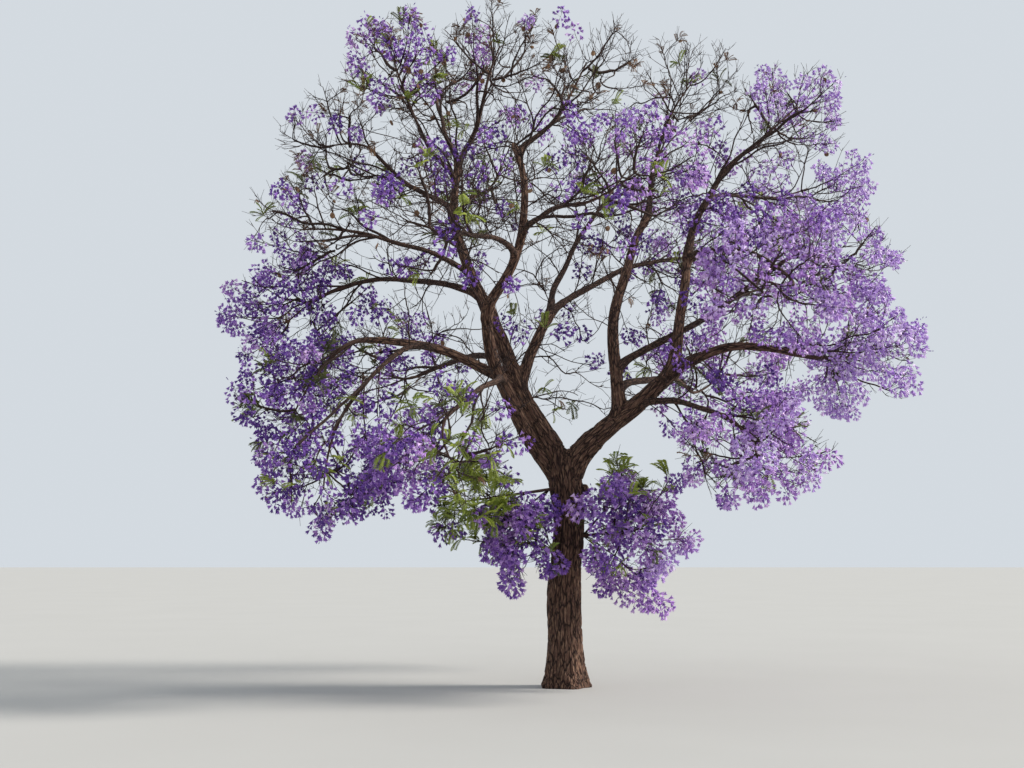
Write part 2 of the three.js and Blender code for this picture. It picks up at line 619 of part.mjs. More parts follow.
addPart("trunk", trunkSolid(0), bark);

// Each limb is cut where it enters the trunk or a limb before it, a touch clear of its skin.
const trunkSkin = trunkSolid(TOUCH_GAP);
const skins = [trunkSkin];
for (const limb of limbNamed.values()) {
  const whole = limbSolid(limb, 0);
  const cut = Manifold.difference([whole, ...skins]).simplify(LIMB_SIMPLIFY_WITHIN);
  addPart(limb.name, largestBody(cut), bark);
  skins.push(limbSolid(limb, TOUCH_GAP));
}

for (const mass of masses) {
  const material = LEAFY_MASSES.includes(mass.name) ? leafy : blossom;
  addPart(mass.name, massSolid(mass, obstacles, trunkSkin), material);
}

export default tree;
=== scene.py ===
import json
import math

import bpy
import numpy as np
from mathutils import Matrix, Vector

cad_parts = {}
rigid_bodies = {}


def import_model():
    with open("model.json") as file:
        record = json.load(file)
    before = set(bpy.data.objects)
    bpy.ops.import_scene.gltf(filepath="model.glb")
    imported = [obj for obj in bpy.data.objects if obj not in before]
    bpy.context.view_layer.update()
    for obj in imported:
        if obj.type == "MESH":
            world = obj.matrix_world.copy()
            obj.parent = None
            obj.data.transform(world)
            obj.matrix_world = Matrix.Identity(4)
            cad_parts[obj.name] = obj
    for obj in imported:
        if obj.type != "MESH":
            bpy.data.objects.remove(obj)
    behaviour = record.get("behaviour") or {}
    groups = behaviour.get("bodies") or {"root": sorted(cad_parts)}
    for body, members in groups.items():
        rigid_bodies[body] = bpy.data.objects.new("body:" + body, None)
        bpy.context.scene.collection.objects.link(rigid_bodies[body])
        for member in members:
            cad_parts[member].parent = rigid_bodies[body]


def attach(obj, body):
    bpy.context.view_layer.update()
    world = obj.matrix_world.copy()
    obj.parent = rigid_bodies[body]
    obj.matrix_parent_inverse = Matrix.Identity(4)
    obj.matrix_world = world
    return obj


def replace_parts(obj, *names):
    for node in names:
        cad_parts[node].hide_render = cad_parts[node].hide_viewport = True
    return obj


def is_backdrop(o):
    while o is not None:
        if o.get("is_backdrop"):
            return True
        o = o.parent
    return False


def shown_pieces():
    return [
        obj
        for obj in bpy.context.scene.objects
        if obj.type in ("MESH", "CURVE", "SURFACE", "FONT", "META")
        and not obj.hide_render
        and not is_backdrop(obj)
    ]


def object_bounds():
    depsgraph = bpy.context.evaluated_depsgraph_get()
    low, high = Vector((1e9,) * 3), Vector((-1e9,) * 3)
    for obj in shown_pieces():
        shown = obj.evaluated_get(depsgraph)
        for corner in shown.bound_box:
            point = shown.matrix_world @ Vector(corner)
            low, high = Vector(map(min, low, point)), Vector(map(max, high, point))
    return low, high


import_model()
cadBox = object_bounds()
scene = bpy.context.scene
print("frame loaded")

# The camera stands where the photograph was taken.
cameraSetup = {
    "place": (-0.4945, -13.3, 1.27),
    "tiltUp": 6.76,  # degrees above level
    "lens": 49.2,  # mm, on a frame 36 mm wide
    "farthest": 400,
}
# Plain studio light: a soft sun from the right and an even sky.
lightSetup = {
    "sunFrom": (0.86, -0.03, 0.58),  # from the tree towards the sun
    "sunPower": 4.4,
    "sunSoftness": 14,  # degrees across
    "sunColor": (1.0, 0.95, 0.87),
    "skyColor": (0.84, 0.9, 0.96),
    "skyPower": 0.78,
    "floorSize": 90,
    "floorColors": ((0.42, 0.415, 0.4), (0.45, 0.445, 0.43)),
}

cameraData = bpy.data.cameras.new("camera")
cameraData.lens = cameraSetup["lens"]
cameraData.clip_end = cameraSetup["farthest"]
camera = bpy.data.objects.new("camera", cameraData)
camera.location = cameraSetup["place"]
camera.rotation_euler = (math.radians(90 + cameraSetup["tiltUp"]), 0, 0)
scene.collection.objects.link(camera)
scene.camera = camera

sunData = bpy.data.lights.new("sun", "SUN")
sunData.energy = lightSetup["sunPower"]
sunData.angle = math.radians(lightSetup["sunSoftness"])
sunData.color = lightSetup["sunColor"]
sun = bpy.data.objects.new("sun", sunData)
towards = np.array(lightSetup["sunFrom"])
towards = towards / np.linalg.norm(towards)
sun.rotation_euler = (
    math.acos(towards[2]),
    0,
    math.atan2(towards[1], towards[0]) + math.pi / 2,
)
scene.collection.objects.link(sun)

world = bpy.data.worlds.new("studio")
world.use_nodes = True
backdrop = world.node_tree.nodes["Background"]
backdrop.inputs["Color"].default_value = (*lightSetup["skyColor"], 1)
backdrop.inputs["Strength"].default_value = lightSetup["skyPower"]
scene.world = world
scene.view_settings.view_transform = "Standard"

mm = 0.001
up = np.array([0.0, 0.0, 1.0])
randomStep = {"times": 1664525, "plus": 1013904223, "wrap": 2**32}


# The solids' own draw of numbers between 0 and 1.
def seededRandom(seed):
    state = seed % randomStep["wrap"]

    def draw():
        nonlocal state
        state = (state * randomStep["times"] + randomStep["plus"]) % randomStep["wrap"]
        return state / randomStep["wrap"]

    return draw


def unit(vector):
    return vector / max(np.linalg.norm(vector), 1e-9)


def units(vectors):
    return vectors / np.maximum(np.linalg.norm(vectors, axis=1, keepdims=True), 1e-9)


def directions(heading, rise):
    h, r = math.radians(heading), math.radians(rise)
    along = np.array([math.cos(h) * math.cos(r), math.sin(h) * math.cos(r), math.sin(r)])
    side = np.array([-math.sin(h), math.cos(h), 0.0])
    over = np.array([-math.cos(h) * math.sin(r), -math.sin(h) * math.sin(r), math.cos(r)])
    return along, side, over


def tangentOf(pointAt, t):
    step = 1e-4
    return unit(pointAt(min(1, t + step)) - pointAt(max(0, t - step)))


# A smooth line from the first point to the last, drawn towards the two between.
def bendThrough(hold, steps, endpoint=True):
    t = np.linspace(0, 1, steps, endpoint=endpoint)[:, None]
    early = hold[0] * (1 - t) ** 3 + hold[1] * 3 * t * (1 - t) ** 2
    return early + hold[2] * 3 * t**2 * (1 - t) + hold[3] * t**3


def linked(name, mesh):
    piece = bpy.data.objects.new(name, mesh)
    scene.collection.objects.link(piece)
    return piece


def pieceFrom(name, corners, faces=(), edges=()):
    mesh = bpy.data.meshes.new(name)
    mesh.from_pydata([tuple(c) for c in corners], list(edges), [tuple(f) for f in faces])
    mesh.update()
    return linked(name, mesh)


def plainMesh(source):
    graph = bpy.context.evaluated_depsgraph_get()
    return bpy.data.meshes.new_from_object(source.evaluated_get(graph), depsgraph=graph)


def storeOnPoints(mesh, name, kind, values):
    attribute = mesh.attributes.new(name, kind, "POINT")
    field = "vector" if kind == "FLOAT_VECTOR" else "value"
    attribute.data.foreach_set(field, np.asarray(values, np.float32).ravel())


# The tree grows here by the same rule and from the same named sizes as its solids.
trunkSizes = {
    "height": 2120 * mm,
    "radiusLow": 158 * mm,
    "radiusWaist": 141 * mm,
    "radiusFork": 166 * mm,
    "bow": 44 * mm,
    "bowHeight": 1500 * mm,
    "bowSpread": 360 * mm,
    "rootFlare": 74 * mm,
    "rootFlareHeight": 190 * mm,
    "rootLobes": 5,
    "rootLobeDepth": 26 * mm,
    "buttressHeading": 188,
    "buttressHeight": 830 * mm,
    "buttressDepth": 15 * mm,
    "buttressSpread": 240 * mm,
    "forkFlatness": 0.2,
    "forkTopShare": 0.62,
    "stubHeight": 1760 * mm,
    "stubHeading": 352,
    "stubRise": 24,
    "stubReach": 232 * mm,
    "stubRadius": 44 * mm,
}

# name, from, at, heading, rise, reach, arch, sway, butt and tip radius
limbSizes = [
    ("limb_right", "trunk", 0.97, 347, 40, 1430, 0.0, 0.0, 102, 68),
    ("leader_left", "trunk", 0.95, 169, 65, 1800, -0.02, 0.04, 104, 60),
    ("stem_front", "trunk", 0.92, 219, 59, 1850, -0.04, -0.12, 82, 48),
    ("leader_crown", "leader_left", 0.98, 169, 79, 1520, -0.1, 0.02, 55, 33),
    ("stem_mid", "leader_left", 0.5, 53, 56, 1000, 0.03, 0.0, 58, 42),
    ("riser_front", "stem_front", 0.98, 337, 80, 1540, -0.16, 0.0, 45, 28),
    ("riser_centre", "limb_right", 0.5, 58, 72, 2230, 0.14, 0.02, 62, 34),
    ("riser_right", "limb_right", 0.95, 50, 76, 1310, 0.02, -0.02, 56, 38),
    ("arch_right", "limb_right", 0.98, 335, 5, 1080, 0.12, 0.04, 50, 28),
    ("leader_top", "leader_crown", 0.98, 344, 69, 760, -0.04, 0.02, 28, 17),
    ("bough_crown_back", "leader_crown", 0.98, 121, 58, 900, 0.06, 0.08, 25, 16),
    ("bough_crown_left", "leader_crown", 0.9, 232, 32, 660, -0.14, 0.04, 25, 16),
    ("bough_left_high", "leader_crown", 0.7, 184, 34, 950, -0.08, 0.05, 28, 17),
    ("bough_back_high", "leader_crown", 0.58, 79, 27, 1300, 0.03, 0.03, 28, 17),
    ("bough_left_upper", "leader_crown", 0.25, 204, 14, 1200, 0.03, 0.03, 28, 17),
    ("bough_left_mid", "leader_crown", 0.08, 168, 6, 1420, 0.09, 0.0, 34, 20),
    ("bough_crown_mid", "riser_front", 0.98, 14, 40, 620, -0.1, -0.05, 25, 16),
    ("bough_front_high", "riser_front", 0.35, 236, -2, 1180, 0.04, 0.03, 28, 17),
    ("bough_front_mid", "riser_front", 0.47, 297, 1, 1080, 0.04, -0.04, 28, 17),
    ("bough_left_low", "leader_left", 0.5, 210, 12, 1650, 0.09, -0.08, 54, 28),
    ("bough_left_drop", "bough_left_low", 0.55, 227, -32, 1200, 0.16, 0.12, 29, 17),
    ("bough_front_left", "stem_front", 0.6, 253, -18, 1440, 0.06, 0.08, 34, 19),
    ("bough_back_left", "leader_left", 0.68, 124, 0, 1680, 0.05, -0.03, 36, 20),
    ("bough_mid_left", "stem_mid", 0.97, 50, 57, 1280, -0.05, 0.14, 37, 21),
    ("bough_mid_right", "stem_mid", 0.98, 38, 24, 1850, 0.05, 0.02, 38, 21),
    ("bough_riser_top", "riser_centre", 0.98, 345, 80, 820, 0.04, 0.02, 30, 17),
    ("bough_fork_low", "riser_centre", 0.2, 353, 31, 1840, -0.02, 0.04, 38, 21),
    ("bough_back_right", "riser_centre", 0.12, 61, 4, 1880, 0.05, -0.05, 37, 21),
    ("bough_hang_right", "limb_right", 0.66, 306, -12, 1220, 0.05, 0.02, 35, 19),
    ("bough_upper_right", "riser_right", 0.97, 8, 59, 1160, 0.09, 0.0, 38, 22),
    ("bough_right_arch", "riser_right", 0.93, 311, -18, 1230, 0.1, 0.02, 30, 18),
    ("bough_right_back", "bough_upper_right", 0.45, 50, 12, 1000, 0.04, 0.03, 26, 16),
]

# name, from, at, heading, rise, reach, width, depth, height, sprays and their length
massSizes = [
    ("mass_top", "leader_top", 1, 352, 72, 390, 1240, 1400, 1070, 17, 500),
    ("mass_top_back", "bough_crown_back", 1, 57, 39, 530, 1260, 1400, 1180, 15, 540),
    ("mass_top_left", "bough_crown_left", 1, 232, 57, 580, 1120, 1400, 1120, 17, 500),
    ("mass_top_centre", "bough_crown_mid", 1, 21, 63, 440, 1260, 1400, 1100, 17, 510),
    ("mass_top_right", "bough_riser_top", 1, 8, 61, 530, 1300, 1500, 1180, 17, 520),
    ("mass_high_left", "bough_left_high", 1, 185, 8, 350, 1240, 1500, 1240, 17, 520),
    ("mass_high_right", "bough_upper_right", 1, 15, 42, 600, 1210, 1400, 1180, 16, 500),
    ("mass_upper_left", "bough_left_upper", 1, 177, 3, 440, 1340, 1500, 1260, 18, 530),
    ("mass_upper_back", "bough_back_high", 1, 71, 34, 740, 1640, 1500, 1480, 18, 600),
    ("mass_upper_front_left", "bough_front_high", 1, 262, 3, 360, 1250, 1400, 1250, 17, 530),
    ("mass_upper_front_right", "bough_front_mid", 1, 318, 16, 520, 1250, 1400, 1180, 17, 530),
    ("mass_rear_high", "bough_mid_left", 1, 40, 50, 720, 1500, 1500, 1400, 17, 590),
    ("mass_far_left", "bough_left_mid", 1, 172, -31, 550, 1460, 1600, 1440, 20, 560),
    ("mass_far_right", "arch_right", 1, 22, 2, 670, 1300, 1500, 1200, 20, 530),
    ("mass_right_upper", "bough_fork_low", 1, 26, 1, 550, 1420, 1500, 1300, 19, 560),
    ("mass_right_front", "bough_right_arch", 1, 248, -16, 600, 1300, 1400, 1140, 18, 520),
    ("mass_right_back", "bough_right_back", 1, 27, 15, 550, 1440, 1600, 1400, 19, 560),
    ("mass_rear_right", "bough_mid_right", 1, 38, 4, 700, 1700, 1600, 1450, 18, 620),
    ("mass_left_low", "bough_left_low", 1, 179, -47, 760, 1320, 1500, 1240, 20, 530),
    ("mass_left_drop", "bough_left_drop", 1, 226, -71, 650, 1320, 1400, 960, 19, 470),
    ("mass_front_left", "bough_front_left", 1, 271, -44, 510, 1300, 1400, 1040, 19, 480),
    ("mass_back_left", "bough_back_left", 1, 130, 8, 600, 1900, 1700, 1560, 20, 630),
    ("mass_back_right", "bough_back_right", 1, 47, 22, 600, 1860, 1700, 1540, 20, 630),
    ("mass_hang_right", "bough_hang_right", 1, 14, -52, 330, 1400, 1500, 1000, 19, 490),
    ("mass_trunk_right", "trunk", 0.66, 325, 5, 590, 1040, 950, 1480, 17, 400),
    ("mass_trunk_left", "trunk", 0.6, 217, 9, 450, 800, 860, 940, 14, 350),
    ("mass_low_left", "trunk", 0.87, 215, -8, 940, 880, 900, 880, 13, 360),
]

# How limbs, stems, twigs and sprays grow.
rule = {
    "limbSeeds": (911, 37),  # the first limb's, and the step to the next
    "massSeeds": (40503, 7919),
    "limbCrook": 0.012,
    "crookTurns": (540, 400),  # degrees of crook along a limb, sideways and up
    "touchGap": 0.35 * mm,
    "spaceMargin": 6 * mm,
    "limbMargin": 14 * mm,
    "pathSamples": 24,
    "clearSteps": 9,
    "stemSteps": 4,
    "stemNodes": 12,
    "stemBare": 0.2,
    "stemLast": 0.97,
    "stemLead": 0.42,
    "stemOvershoot": 0.2,
    "stemButtShare": 0.86,
    "stemTipRadius": 7 * mm,
    "trunkStemRadius": 15 * mm,
    "trunkStemSink": 22 * mm,
    "twigRadius": 10 * mm,
    "twigTipRadius": 5 * mm,
    "twigShare": 0.6,  # a twig's thickness, in shares of what carries it
    "twigNodes": (0.45, 0.8),  # where the next twigs may leave a twig
    "turnCost": 0.45,
    "sprayPlumpness": 0.355,
    "sprayFlatness": 0.8,
    "sprayWidest": 0.46,
    "spraySpacing": 0.6,
    "sprayForward": 0.3,
    "sprayLift": 0.28,
    "sprayEnd": 0.995,
    "spraySizes": (0.88, 0.26),  # the least, and how much chance adds
    "levelShake": 0.08,
    "turnShake": 24,
    "highest": 0.97,
    "spaceShares": (1.0, 0.9, 0.8, 0.7, 0.6, 0.5, 0.4),
    "goldenTurn": 137.508,
}


def trunkPoint(t):
    z = t * trunkSizes["height"]
    above = (z - trunkSizes["bowHeight"]) / trunkSizes["bowSpread"]
    return np.array([trunkSizes["bow"] * math.exp(-(above**2)), 0.0, z])


def trunkSwell(z):
    above = trunkSizes["height"] - trunkSizes["bowHeight"]
    return max(0.0, (z - trunkSizes["bowHeight"]) / above)


def trunkRadius(t):
    z = t * trunkSizes["height"]
    taper = trunkSizes["radiusWaist"] - trunkSizes["radiusLow"]
    shaft = trunkSizes["radiusLow"] + taper * min(1, z / trunkSizes["bowHeight"])
    fork = (trunkSizes["radiusFork"] - trunkSizes["radiusWaist"]) * trunkSwell(z)
    return shaft + fork + trunkSizes["rootFlare"] * math.exp(-z / trunkSizes["rootFlareHeight"])


def trunkRadiusRound(t, angle):
    z = t * trunkSizes["height"]
    fade = math.exp(-z / trunkSizes["rootFlareHeight"])
    lobe = trunkSizes["rootLobeDepth"] * fade * np.cos(trunkSizes["rootLobes"] * angle)
    facing = np.maximum(0, np.cos(angle - math.radians(trunkSizes["buttressHeading"])))
    level = math.exp(-(((z - trunkSizes["buttressHeight"]) / trunkSizes["buttressSpread"]) ** 2))
    flattened = 1 - trunkSizes["forkFlatness"] * trunkSwell(z) * np.sin(angle) ** 2
    return trunkRadius(t) * flattened + lobe + trunkSizes["buttressDepth"] * facing**2 * level


# A point along a bow from start to end, drawn towards its control point.
def bendAt(start, control, end, t):
    return start * (1 - t) ** 2 + control * 2 * t * (1 - t) + end * t * t


def limbPath(limb, index, start):
    draw = seededRandom(rule["limbSeeds"][0] + index * rule["limbSeeds"][1])
    along, side, over = directions(limb["heading"], limb["rise"])
    reach = limb["reach"]
    end = start + along * reach
    bend = over * limb["arch"] + side * limb["sway"]
    control = (start + end) * 0.5 + bend * reach * 2
    phaseSide, phaseUp = draw() * 360, draw() * 360
    turnSide, turnUp = rule["crookTurns"]

    def pointAt(t):
        crook = rule["limbCrook"] * reach * math.sin(math.pi * t) ** 2
        point = bendAt(start, control, end, t)
        point = point + side * crook * math.sin(math.radians(turnSide * t + phaseSide))
        return point + over * crook * math.sin(math.radians(turnUp * t + phaseUp))

    return pointAt


def limbRadius(limb, t):
    return limb["butt"] + (limb["tip"] - limb["butt"]) * t


limbs = {}
sizeNames = ("name", "from", "at", "heading", "rise")
for index, size in enumerate(limbSizes):
    limb = dict(zip(sizeNames, size))
    limb.update(reach=size[5] * mm, arch=size[6], sway=size[7], butt=size[8] * mm, tip=size[9] * mm)
    carrierAt = trunkPoint if limb["from"] == "trunk" else limbs[limb["from"]]["pointAt"]
    limb["side"] = directions(limb["heading"], limb["rise"])[1]
    limb["pointAt"] = limbPath(limb, index, carrierAt(limb["at"]))
    limbs[limb["name"]] = limb


def stemPath(start, heading, centre):
    end = start + (centre - start) * (1 + rule["stemOvershoot"])
    control = start + heading * np.linalg.norm(end - start) * rule["stemLead"]
    return lambda t: bendAt(start, control, end, t)


masses = []
for index, size in enumerate(massSizes):
    mass = dict(zip(sizeNames, size))
    mass.update(reach=size[5] * mm, sprays=size[9], sprayLength=size[10] * mm)
    mass["seed"] = rule["massSeeds"][0] + index * rule["massSeeds"][1]
    mass["half"] = np.array(size[6:9]) * 0.5 * mm
    along = directions(mass["heading"], mass["rise"])[0]
    if mass["from"] == "trunk":
        out = trunkRadius(mass["at"]) - rule["trunkStemSink"]
        mass["start"] = trunkPoint(mass["at"]) + directions(mass["heading"], 0)[0] * out
        mass["along"] = along
        mass["butt"] = rule["trunkStemRadius"]
    else:
        limb = limbs[mass["from"]]
        mass["along"] = tangentOf(limb["pointAt"], 1)
        mass["start"] = limb["pointAt"](1) + mass["along"] * rule["touchGap"]
        mass["butt"] = limb["tip"] * rule["stemButtShare"]
    mass["centre"] = mass["start"] + along * mass["reach"]
    mass["stemAt"] = stemPath(mass["start"], mass["along"], mass["centre"])
    masses.append(mass)


def stemRadius(mass, t):
    return mass["butt"] + (rule["stemTipRadius"] - mass["butt"]) * t


# Short straight blocks of every limb and stem, which sprays and twigs keep clear of.
blocks = {"owner": [], "from": [], "to": [], "radius": []}


def addBlocks(owner, pointAt, radiusAt, samples):
    for i in range(samples):
        blocks["owner"].append(owner)
        blocks["from"].append(pointAt(i / samples))
        blocks["to"].append(pointAt((i + 1) / samples))
        blocks["radius"].append(max(radiusAt(i / samples), radiusAt((i + 1) / samples)))


def trunkReach(t):
    return trunkRadius(t) + trunkSizes["buttressDepth"]


addBlocks("trunk", trunkPoint, trunkReach, rule["pathSamples"])
for limb in limbs.values():
    radiusAt = lambda t, one=limb: limbRadius(one, t)
    addBlocks(limb["name"], limb["pointAt"], radiusAt, rule["pathSamples"])
for mass in masses:
    radiusAt = lambda t, one=mass: stemRadius(one, t)
    addBlocks(mass["name"], mass["stemAt"], radiusAt, rule["stemSteps"])
blocks = {key: np.array(values) for key, values in blocks.items()}


def reachTowards(mass, direction):
    return 1 / math.sqrt(((direction / mass["half"]) ** 2).sum())


# Two masses whose spaces meet share them at a plane between their middles.
def wallsOf(mass):
    walls = []
    for other in masses:
        if other is mass:
            continue
        between = other["centre"] - mass["centre"]
        distance = np.linalg.norm(between)
        between = between / distance
        own, theirs = reachTowards(mass, between), reachTowards(other, between)
        if own + theirs < distance:
            continue
        share = distance * own / (own + theirs)
        walls.append((between, mass["centre"] @ between + share - rule["spaceMargin"]))
    return walls


def isInSpace(mass, point, slack=0.0):
    if (((point - mass["centre"]) / (mass["half"] + slack)) ** 2).sum() > 1:
        return False
    return all(point @ normal <= limit + slack for normal, limit in mass["walls"])


def isClear(start, end, radii, near):
    t = np.linspace(0, 1, rule["clearSteps"])[:, None]
    points = start + t * (end - start)
    line = near["to"] - near["from"]
    offset = points[:, None] - near["from"]
    share = np.clip((offset * line).sum(2) / (line**2).sum(1), 0, 1)
    gap = np.linalg.norm(offset - share[..., None] * line, axis=2)
    return bool((gap >= near["radius"] + radii[:, None] + rule["limbMargin"]).all())


def placeSpray(mass, outward, size, others, near):
    along = unit(outward + mass["along"] * rule["sprayForward"] + up * rule["sprayLift"])
    side = unit(np.cross(along, up))
    over = unit(np.cross(side, along))
    length = mass["sprayLength"] * size
    radius = length * rule["sprayPlumpness"]
    t = np.linspace(0, 1, rule["clearSteps"])
    radii = radius * np.minimum(t / rule["sprayWidest"], (1 - t) / (1 - rule["sprayWidest"]))
    for share in rule["spaceShares"]:
        tip = mass["centre"] + outward * reachTowards(mass, outward) * share * rule["sprayEnd"]
        root = tip - along * length
        middle = root + (tip - root) * rule["sprayWidest"]
        corners = [root, tip]
        for angle in (0, 120, 240):
            turned = math.radians(angle)
            flat = radius * rule["sprayFlatness"] * math.cos(turned)
            corners.append(middle + side * radius * math.sin(turned) + over * flat)
        inside = all(isInSpace(mass, corner) for corner in corners)
        spacing = length * rule["spraySpacing"]
        apart = all(np.linalg.norm(o["middle"] - middle) > spacing for o in others)
        if inside and apart and isClear(root, tip, radii, near):
            return {
                "root": root, "tip": tip, "middle": middle, "along": along,
                "side": side, "over": over, "radius": radius,
            }
    return None


# Deals a mass's sprays out evenly all round, each where it finds room.
def dealSprays(mass, near):
    draw = seededRandom(mass["seed"])
    turn = draw() * 360
    least, spread = rule["spraySizes"]
    sprays = []
    for i in range(mass["sprays"]):
        level = 1 - 2 * (i + 0.5) / mass["sprays"] + (draw() - 0.5) * rule["levelShake"]
        z = min(rule["highest"], max(-rule["highest"], level))
        shake = (draw() - 0.5) * rule["turnShake"]
        angle = math.radians(turn + i * rule["goldenTurn"] + shake)
        flat = math.sqrt(1 - z * z)
        outward = np.array([flat * math.cos(angle), flat * math.sin(angle), z])
        spray = placeSpray(mass, outward, least + spread * draw(), sprays, near)
        if spray:
            sprays.append(spray)
    return sprays


# Each spray in turn joins the node that it reaches with the least way and turning.
def growTwigs(mass, sprays, near):
    nodes = []
    for i in range(1, rule["stemNodes"] + 1):
        t = rule["stemBare"] + (rule["stemLast"] - rule["stemBare"]) * i / rule["stemNodes"]
        nodes.append((mass["stemAt"](t), tangentOf(mass["stemAt"], t), stemRadius(mass, t)))
    waiting = list(sprays)
    twigs = []
    while waiting:
        best = None
        for spray in waiting:
            for node in nodes:
                way = spray["root"] - node[0]
                distance = np.linalg.norm(way)
                turning = 1 - way @ node[1] / max(distance, mm)
                cost = distance * (1 + rule["turnCost"] * turning)
                if best is None or cost < best[0]:
                    best = (cost, spray, node)
        _, spray, node = best
        waiting = [other for other in waiting if other is not spray]
        tip = rule["twigTipRadius"]
        butt = max(tip, min(rule["twigRadius"], node[2] * rule["twigShare"]))
        radii = butt + (tip - butt) * np.linspace(0, 1, rule["clearSteps"])
        if not isClear(node[0], spray["root"], radii, near):
            continue
        twigs.append({"from": node[0], "leaving": node[1], "butt": butt, "spray": spray})
        way = unit(spray["root"] - node[0])
        for share in rule["twigNodes"]:
            point = node[0] + (spray["root"] - node[0]) * share
            nodes.append((point, way, butt + (tip - butt) * share))
    return twigs


for mass in masses:
    mass["walls"] = wallsOf(mass)
for mass in masses:
    size = np.linalg.norm(mass["half"]) + mass["reach"]
    close = np.linalg.norm(blocks["from"] - mass["centre"], axis=1) < size
    near = {key: values[close] for key, values in blocks.items()}
    foreign = near["owner"] != mass["name"]
    others = {key: values[foreign] for key, values in near.items()}
    mass["twigs"] = growTwigs(mass, dealSprays(mass, near), others)
print("rule grown:", len(limbs), "limbs,", sum(len(m["twigs"]) for m in masses), "sprays")

def feed(tree, socket, source):
    if isinstance(source, bpy.types.NodeSocket):
        tree.links.new(source, socket)
    else:
        socket.default_value = source


def feedAll(tree, node, sources):
    for label, source in sources.items():
        feed(tree, node.inputs[label], source)


# A new node: links or values for its inputs, and its own settings.
def newNode(tree, kind, sources=None, **settings):
    node = tree.nodes.new(kind)
    for key, value in settings.items():
        setattr(node, key, value)
    feedAll(tree, node, sources or {})
    return node


def newTree(name, kind, inputs, outputs):
    tree = bpy.data.node_groups.new(name, kind)
    for label, socketKind, *value in inputs:
        kindName = "NodeSocket" + socketKind
        socket = tree.interface.new_socket(label, in_out="INPUT", socket_type=kindName)
        if value:
            socket.default_value = value[0]
    for label, socketKind in outputs:
        kindName = "NodeSocket" + socketKind
        tree.interface.new_socket(label, in_out="OUTPUT", socket_type=kindName)
    given, made = tree.nodes.new("NodeGroupInput"), tree.nodes.new("NodeGroupOutput")
    return tree, given.outputs, made.inputs


def newGeometryTree(name, inputs):
    shape = ("Geometry", "Geometry")
    return newTree(name, "GeometryNodeTree", [shape, *inputs, ("Material", "Material")], [shape])


# Every geometry tree ends with plain geometry in its material.
def endTree(tree, given, made, geometry):
    realize = newNode(tree, "GeometryNodeRealizeInstances", {"Geometry": geometry})
    sources = {"Geometry": realize.outputs["Geometry"], "Material": given["Material"]}
    paint = newNode(tree, "GeometryNodeSetMaterial", sources)
    feed(tree, made["Geometry"], paint.outputs["Geometry"])
    return tree


def smoothed(tree, geometry):
    return newNode(tree, "GeometryNodeSetShadeSmooth", {"Geometry": geometry}).outputs["Geometry"]


def named(tree, name, kind):
    sources = {"Name": name}
    node = newNode(tree, "GeometryNodeInputNamedAttribute", sources, data_type=kind)
    return node.outputs["Attribute"]


def calculate(tree, operation, *sources):
    node = newNode(tree, "ShaderNodeMath", operation=operation)
    feedAll(tree, node, dict(enumerate(sources)))
    return node.outputs[0]


def calculateVector(tree, operation, sources):
    return newNode(tree, "ShaderNodeVectorMath", sources, operation=operation).outputs[0]


def smoothRange(tree, value, limits):
    sources = {"Value": value, **limits}
    node = newNode(tree, "ShaderNodeMapRange", sources, interpolation_type="SMOOTHSTEP")
    return node.outputs["Result"]


def addNoise(tree, place, scale, detail):
    sources = {"Vector": place, "Scale": scale, "Detail": detail}
    return newNode(tree, "ShaderNodeTexNoise", sources).outputs["Fac"]


def randomBetween(tree, least, most, seed):
    sources = {2: least, 3: most, "Seed": seed}
    return newNode(tree, "FunctionNodeRandomValue", sources, data_type="FLOAT").outputs[1]


# Bark plates are cells, bent so that no crack runs straight. Gives each point's place in plates
# and its distance to the nearest crack.
def addPlates(tree, place, given):
    straying, bending = 1.4, 0.9  # how often cracks stray, and how far, in plates
    width, length = given["Plate Width"], given["Plate Length"]
    size = newNode(tree, "ShaderNodeCombineXYZ", {"X": width, "Y": width, "Z": length})
    inPlates = calculateVector(tree, "DIVIDE", {0: place, 1: size.outputs[0]})
    wander = newNode(tree, "ShaderNodeTexNoise", {"Vector": inPlates, "Scale": straying})
    bend = calculateVector(tree, "SCALE", {0: wander.outputs["Color"], "Scale": bending})
    bent = calculateVector(tree, "ADD", {0: inPlates, 1: bend})
    cells = newNode(tree, "ShaderNodeTexVoronoi", feature="DISTANCE_TO_EDGE")
    feedAll(tree, cells, {"Vector": bent, "Scale": 1})
    return inPlates, cells.outputs["Distance"]


# Sweeps a round section along every run of a twig skeleton.
def makeTwigTree():
    inputs = [("Sides", "Int", 4), ("Thickness", "Float", 1.0)]
    tree, given, made = newGeometryTree("sweepTwigs", inputs)
    curve = newNode(tree, "GeometryNodeMeshToCurve", {"Mesh": given["Geometry"]})
    ring = newNode(tree, "GeometryNodeCurvePrimitiveCircle", mode="RADIUS")
    feedAll(tree, ring, {"Resolution": given["Sides"], "Radius": 1})
    thick = calculate(tree, "MULTIPLY", named(tree, "thick", "FLOAT"), given["Thickness"])
    sources = {
        "Curve": curve.outputs["Curve"],
        "Profile Curve": ring.outputs["Curve"],
        "Scale": thick,
        "Fill Caps": True,
    }
    sweep = newNode(tree, "GeometryNodeCurveToMesh", sources)
    return endTree(tree, given, made, smoothed(tree, sweep.outputs["Mesh"]))


